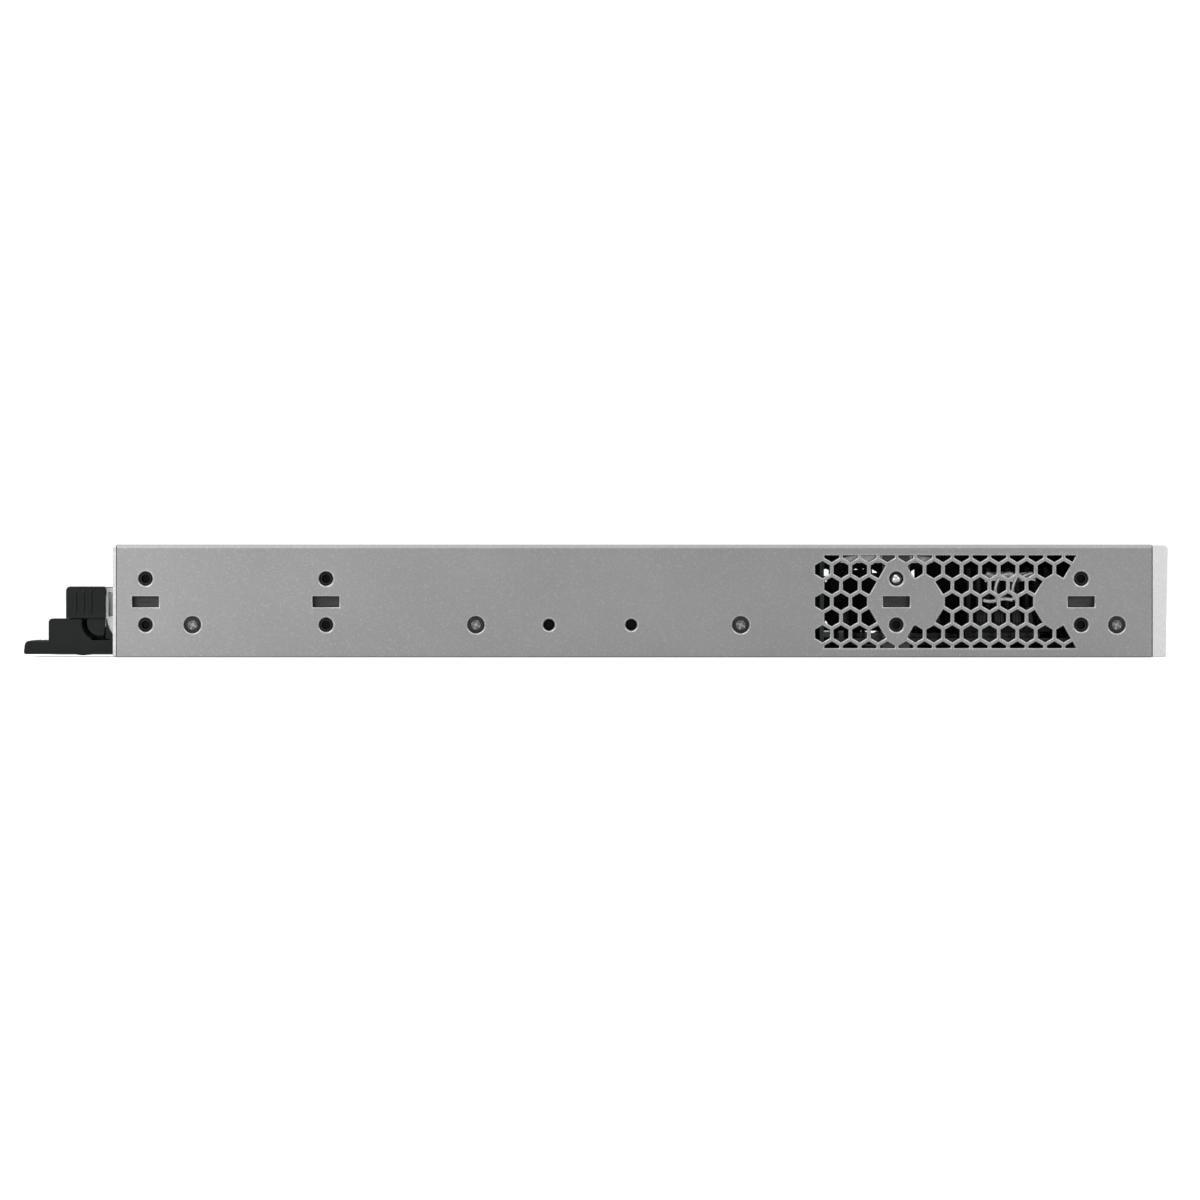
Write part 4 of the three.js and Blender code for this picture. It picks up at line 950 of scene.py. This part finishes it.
# frame nodes whose shape is right, with their edges rounded
softEdges = [
    ("frontBezel", ["front_bezel"], 0.22), ("jackBanks", ["jack_bank_left", "jack_bank_right"], 0.14),
    ("managementJacks", ["management_jacks"], 0.14), ("usbShell", ["usb_port"], 0.1),
    ("statusGuide", ["status_light_pipe"], 0.25), ("stackShells", ["stack_port_1", "stack_port_2"], 0.15),
    ("uplinkPlate", ["uplink_frame"], 0.18), ("uplinkCages", ["uplink_cages"], 0.14),
]
fanEdges = (("Carrier", "carrier", 0.2), ("Frame", "frame", 0.3), ("Release", "release", 0.35))
supplyEdges = (("Housing", "housing", 0.2), ("Inlet", "inlet", 0.3), ("FanFrame", "fan_frame", 0.3))
softEdges += [(f"fan{name}{i}", [f"fan_{i}_{word}"], width) for i in (1, 2, 3) for name, word, width in fanEdges]
softEdges += [(f"supply{name}{i}", [f"psu_{i}_{word}"], width) for i in (1, 2) for name, word, width in supplyEdges]
for name, nodes, width in softEdges:
    softened(name, nodes, width)
print("switch: rounded edges on", len(softEdges), "pieces")

# wire guards in front of the fans
guard = {"rings": (5.2, 8.6, 12.0, 15.4), "wire": 0.42, "spokes": (2.4, 17.8), "y": 188.5}


# a guard is rings of round wire, tied by four straight spokes behind them, and a round boss in the middle
def fanGuard(shape, centre, y):
    section = circle((0, 0), guard["wire"] * mm, 8)
    for r in guard["rings"]:
        swept(shape, placed("y", circle(centre, r, 48), y) * mm, section, closed=True, up=(0, 1, 0))
    for quarter in range(4):
        spoke = polar(centre, np.linspace(*guard["spokes"], 5), pi * (0.25 + quarter / 2))
        swept(shape, placed("y", spoke, y - 0.5) * mm, section, up=(0, 1, 0))
    turned(shape, "y", centre, [(0, y + 0.3), (2.6, y + 0.3), (2.9, y), (2.9, y - 0.6), (0, y - 0.6)], 24)


for node, body, _, name in fans:
    guardShape = Shape()
    fanGuard(guardShape, middleOf(f"{node}_frame")[[0, 2]], guard["y"])
    finished(name, guardShape, brightWire, body, (), 60)
print("switch: fan guards")

# knurled captive screws
knob = {
    "radius": 4.0, "length": 3.0, "knurl": 0.16, "teeth": 36, "chamfer": 0.5, "slotHalf": 0.5, "slotDepth": 0.9,
    "shank": 2.2,
}


# a knob is a height field over (radius, angle): a flat face with a slot sunk where |height| < slotHalf, then a
# chamfer, then a side whose radius ripples by knurl * |sin(teeth * angle / 2)|
def captiveScrew(shape, centre, front, back):
    def sunk(height):
        return np.clip((knob["slotHalf"] + 0.06 - np.abs(height)) / 0.12, 0, 1) * knob["slotDepth"]

    angle, radius, length = fullTurn(knob["teeth"] * 4), knob["radius"], back - front
    r, a = np.meshgrid(np.linspace(0, radius - knob["chamfer"], 15), angle, indexing="ij")
    rings = [placed("y", polar(centre, r, a), front + sunk(r * np.sin(a)))]
    ripple = knob["knurl"] * np.abs(np.sin(knob["teeth"] * angle / 2))
    side = [(radius - 0.12, 0.35, 0.3), (radius, 0.6, 1), (radius, length - 0.4, 1), (radius - 0.3, length, 0)]
    for reach, depth, share in side:
        reach = reach - share * ripple
        depth = np.maximum(depth, sunk(reach * np.sin(angle)))
        rings.append(placed("y", polar(centre, reach, angle), front + depth)[None])
    rings.append(placed("y", polar(centre, 0 * angle, angle), back)[None])
    shape.grid(np.concatenate(rings) * mm, closeColumns=True)


for word in ("left", "right"):
    node = f"uplink_screw_{word}"
    (_, front, _), (_, back, _), middle = *boxOf(node), middleOf(node)[[0, 2]]
    knobShape, foot, r = Shape(), front + knob["length"], knob["shank"]
    captiveScrew(knobShape, middle, front, foot)
    shank = [(0, foot - 0.1), (r, foot - 0.1), (r, back - 0.6), (r - 0.5, back), (0, back)]
    turned(knobShape, "y", middle, shank, 20)
    finished(f"captiveScrew{word.capitalize()}", knobShape, shield, node, [node], 50)

# the mode button: a cap dished by (1 - s)^2 s, its rim, and a wider foot behind the panel
(_, front, _), (_, back, _) = boxOf("mode_button")
s = np.linspace(0, 1, 10)
cap = np.stack([2.3 * s, front + 0.25 * (1 - s) ** 2 * s * 4], 1)
stem = [(2.75, front + 0.12), (2.95, front + 0.4), (3.0, front + 0.8), (3.0, back - 1.2), (4.2, back - 1.2)]
profile = np.concatenate([cap, stem, [(4.2, back), (0, back)]])
buttonShape = turned(Shape(), "y", middleOf("mode_button")[[0, 2]], profile, 40)
finished("modeButton", buttonShape, plastic, "mode_button", ["mode_button"], 40)

# stacking port covers: a face plate with grip ridges, and a plug that fills the port
plug = {"half": (12.8, 4), "face": 2.4, "ridgeHalf": (0.45, 4.6), "ridgePitch": 2.2, "ridges": 5, "proud": 0.4}


# a rounded rectangle by its middle and half sizes
def roundBlock(middle, half, radius, steps=5):
    (x, z), (wide, tall) = middle, half
    return roundRect((x - wide, x + wide), (z - tall, z + tall), radius, steps)


for i in (1, 2):
    node = f"stack_cover_{i}"
    low, high = boxOf(node)
    x, z = middleOf(node)[[0, 2]]
    inner, outer, plugShape = low[1], high[1], Shape()
    outline = roundRect((low[0], high[0]), (low[2], high[2]), 1.6)
    slab(plugShape, "y", outline, outer - plug["face"], outer - plug["proud"], 0.5)
    slab(plugShape, "y", roundBlock((x, z), plug["half"], 0.8), inner, outer - 2.2, 0.3)
    for k in range(-plug["ridges"], plug["ridges"] + 1):
        ridge = roundBlock((x + plug["ridgePitch"] * k, z), plug["ridgeHalf"], 0.42)
        slab(plugShape, "y", ridge, outer - 0.6, outer, 0.12, 2)
    finished(f"stackCover{i}", plugShape, plastic, node, [node], 40)
print("switch: captive screws, button and covers")

# light windows above and below the jacks
lampWindow = {"half": (1.3, 0.55), "spread": 3.1, "inset": 0.95, "start": -0.12, "end": 1.0}
windowShape = Shape()
window = roundBlock((0, 0), lampWindow["half"], 0.3, 3)
oneWindow = slab(Shape(), "y", window, lampWindow["start"], lampWindow["end"], 0.1, 2)
for node in ("jack_bank_left", "jack_bank_right"):
    (_, mouth, zLow), (_, _, zHigh), middle = *boxOf(node), middleOf(node)[0]
    spread, inset = lampWindow["spread"], lampWindow["inset"]
    jacks = middle + (np.arange(6) - 2.5) * contact["jackPitch"]
    places = [(x + dx, mouth, z) for x in jacks for dx in (-spread, spread) for z in (zLow + inset, zHigh - inset)]
    windowShape.copies(oneWindow, np.array(places) * mm)
finished("jackLampWindows", windowShape, clear, "chassis", (), 40)
print("switch: lamp windows")

# light, floor and camera
studio = {
    "around": 0.1, "ends": 0.55, "above": 1.0, "corners": 2.5, "seen": 1.02, "floor": 0.42, "floorGlow": 0.5,
    "floorHalf": 30, "distance": 1.9, "frameWidth": 0.468, "centreY": -0.002, "centreZ": 0.0224, "sensor": 36,
    "rearBox": {"place": (-0.5, 0.44, 0.17), "aim": (-0.22, 0.17, 0.02), "size": (0.24, 0.16), "power": 2.9},
    "frontBox": {"place": (-0.5, -0.5, 0.17), "aim": (-0.22, -0.2, 0.02), "size": (0.24, 0.16), "power": 1.25},
}

# a pale floor that throws little light back up at the case; it also glows a little, to meet the white room
floorMesh = bpy.data.meshes.new("floor")
h, grey = studio["floorHalf"], studio["floor"]
floorMesh.from_pydata([(-h, -h, 0), (h, -h, 0), (h, h, 0), (-h, h, 0)], [], [(0, 1, 2, 3)])
floorLook = {"Roughness": 0.85, "Specular IOR Level": 0.1, "Emission Strength": studio["floorGlow"]}
floorPaint = Finish("paleFloor", floorLook)
floorTone = floorPaint.noise(3, 2.0)
direct = floorPaint.node("ShaderNodeLightPath", {}, {}, "Is Camera Ray")
floorMesh.materials.append(floorPaint.wear(
    colour=floorPaint.blended(floorTone, (grey,) * 3, (grey + 0.02,) * 3),
    glow=floorPaint.blended(direct, (0, 0, 0), (1, 1, 1)),
))
floor = bpy.data.objects.new("floor", floorMesh)
bpy.context.scene.collection.objects.link(floor)

# a white room: dark round the sides, brighter above and at the front and rear ends, brightest high up at the left
# corners, and plain white where the camera sees it
world = bpy.data.worlds.new("studio")
bpy.context.scene.world = world
world.use_nodes = True
room = NodeTree(world.node_tree)
direction = room.node("ShaderNodeTexCoord", {}, {}, "Generated")
across, along, height = (room.node("ShaderNodeSeparateXYZ", {}, {"Vector": direction}, axis) for axis in "XYZ")
towardsEnds = room.span(along.maths("ABSOLUTE", along + 0.08), 0.03, 0.6)
overhead = room.span(height, 0.25, 0.8)
leftCorners = towardsEnds * overhead * room.span(across, 0.1, -0.3)
glow = studio["around"] + towardsEnds * studio["ends"] + overhead * studio["above"]
glow = glow + leftCorners * studio["corners"]
seen = room.node("ShaderNodeLightPath", {}, {}, "Is Camera Ray")
strength = glow * (1 - seen) + seen * studio["seen"]
background = world.node_tree.nodes["Background"]
background.inputs["Color"].default_value = (1, 1, 1, 1)
world.node_tree.links.new(strength.socket, background.inputs["Strength"])

# soft boxes that light the left side from its two ends
for name in ("rearBox", "frontBox"):
    box = studio[name]
    light = bpy.data.lights.new(name, "AREA")
    light.shape, light.size, light.size_y, light.energy = "RECTANGLE", *box["size"], box["power"]
    lamp = bpy.data.objects.new(name, light)
    bpy.context.scene.collection.objects.link(lamp)
    lamp.location = box["place"]
    lamp.visible_camera = lamp.visible_glossy = False
    lamp.rotation_euler = (Vector(box["aim"]) - Vector(box["place"])).to_track_quat("-Z", "Y").to_euler()

camera = bpy.data.cameras.new("camera")
camera.sensor_width = studio["sensor"]
camera.lens = studio["sensor"] * studio["distance"] / studio["frameWidth"]
camera.clip_end = 50
eye = bpy.data.objects.new("camera", camera)
bpy.context.scene.collection.objects.link(eye)
eye.location = (caseLow[0] - studio["distance"], studio["centreY"], studio["centreZ"])
eye.rotation_euler = (math.pi / 2, 0, -math.pi / 2)
bpy.context.scene.camera = eye
bpy.context.scene.view_settings.view_transform = "Standard"
print("switch: studio")
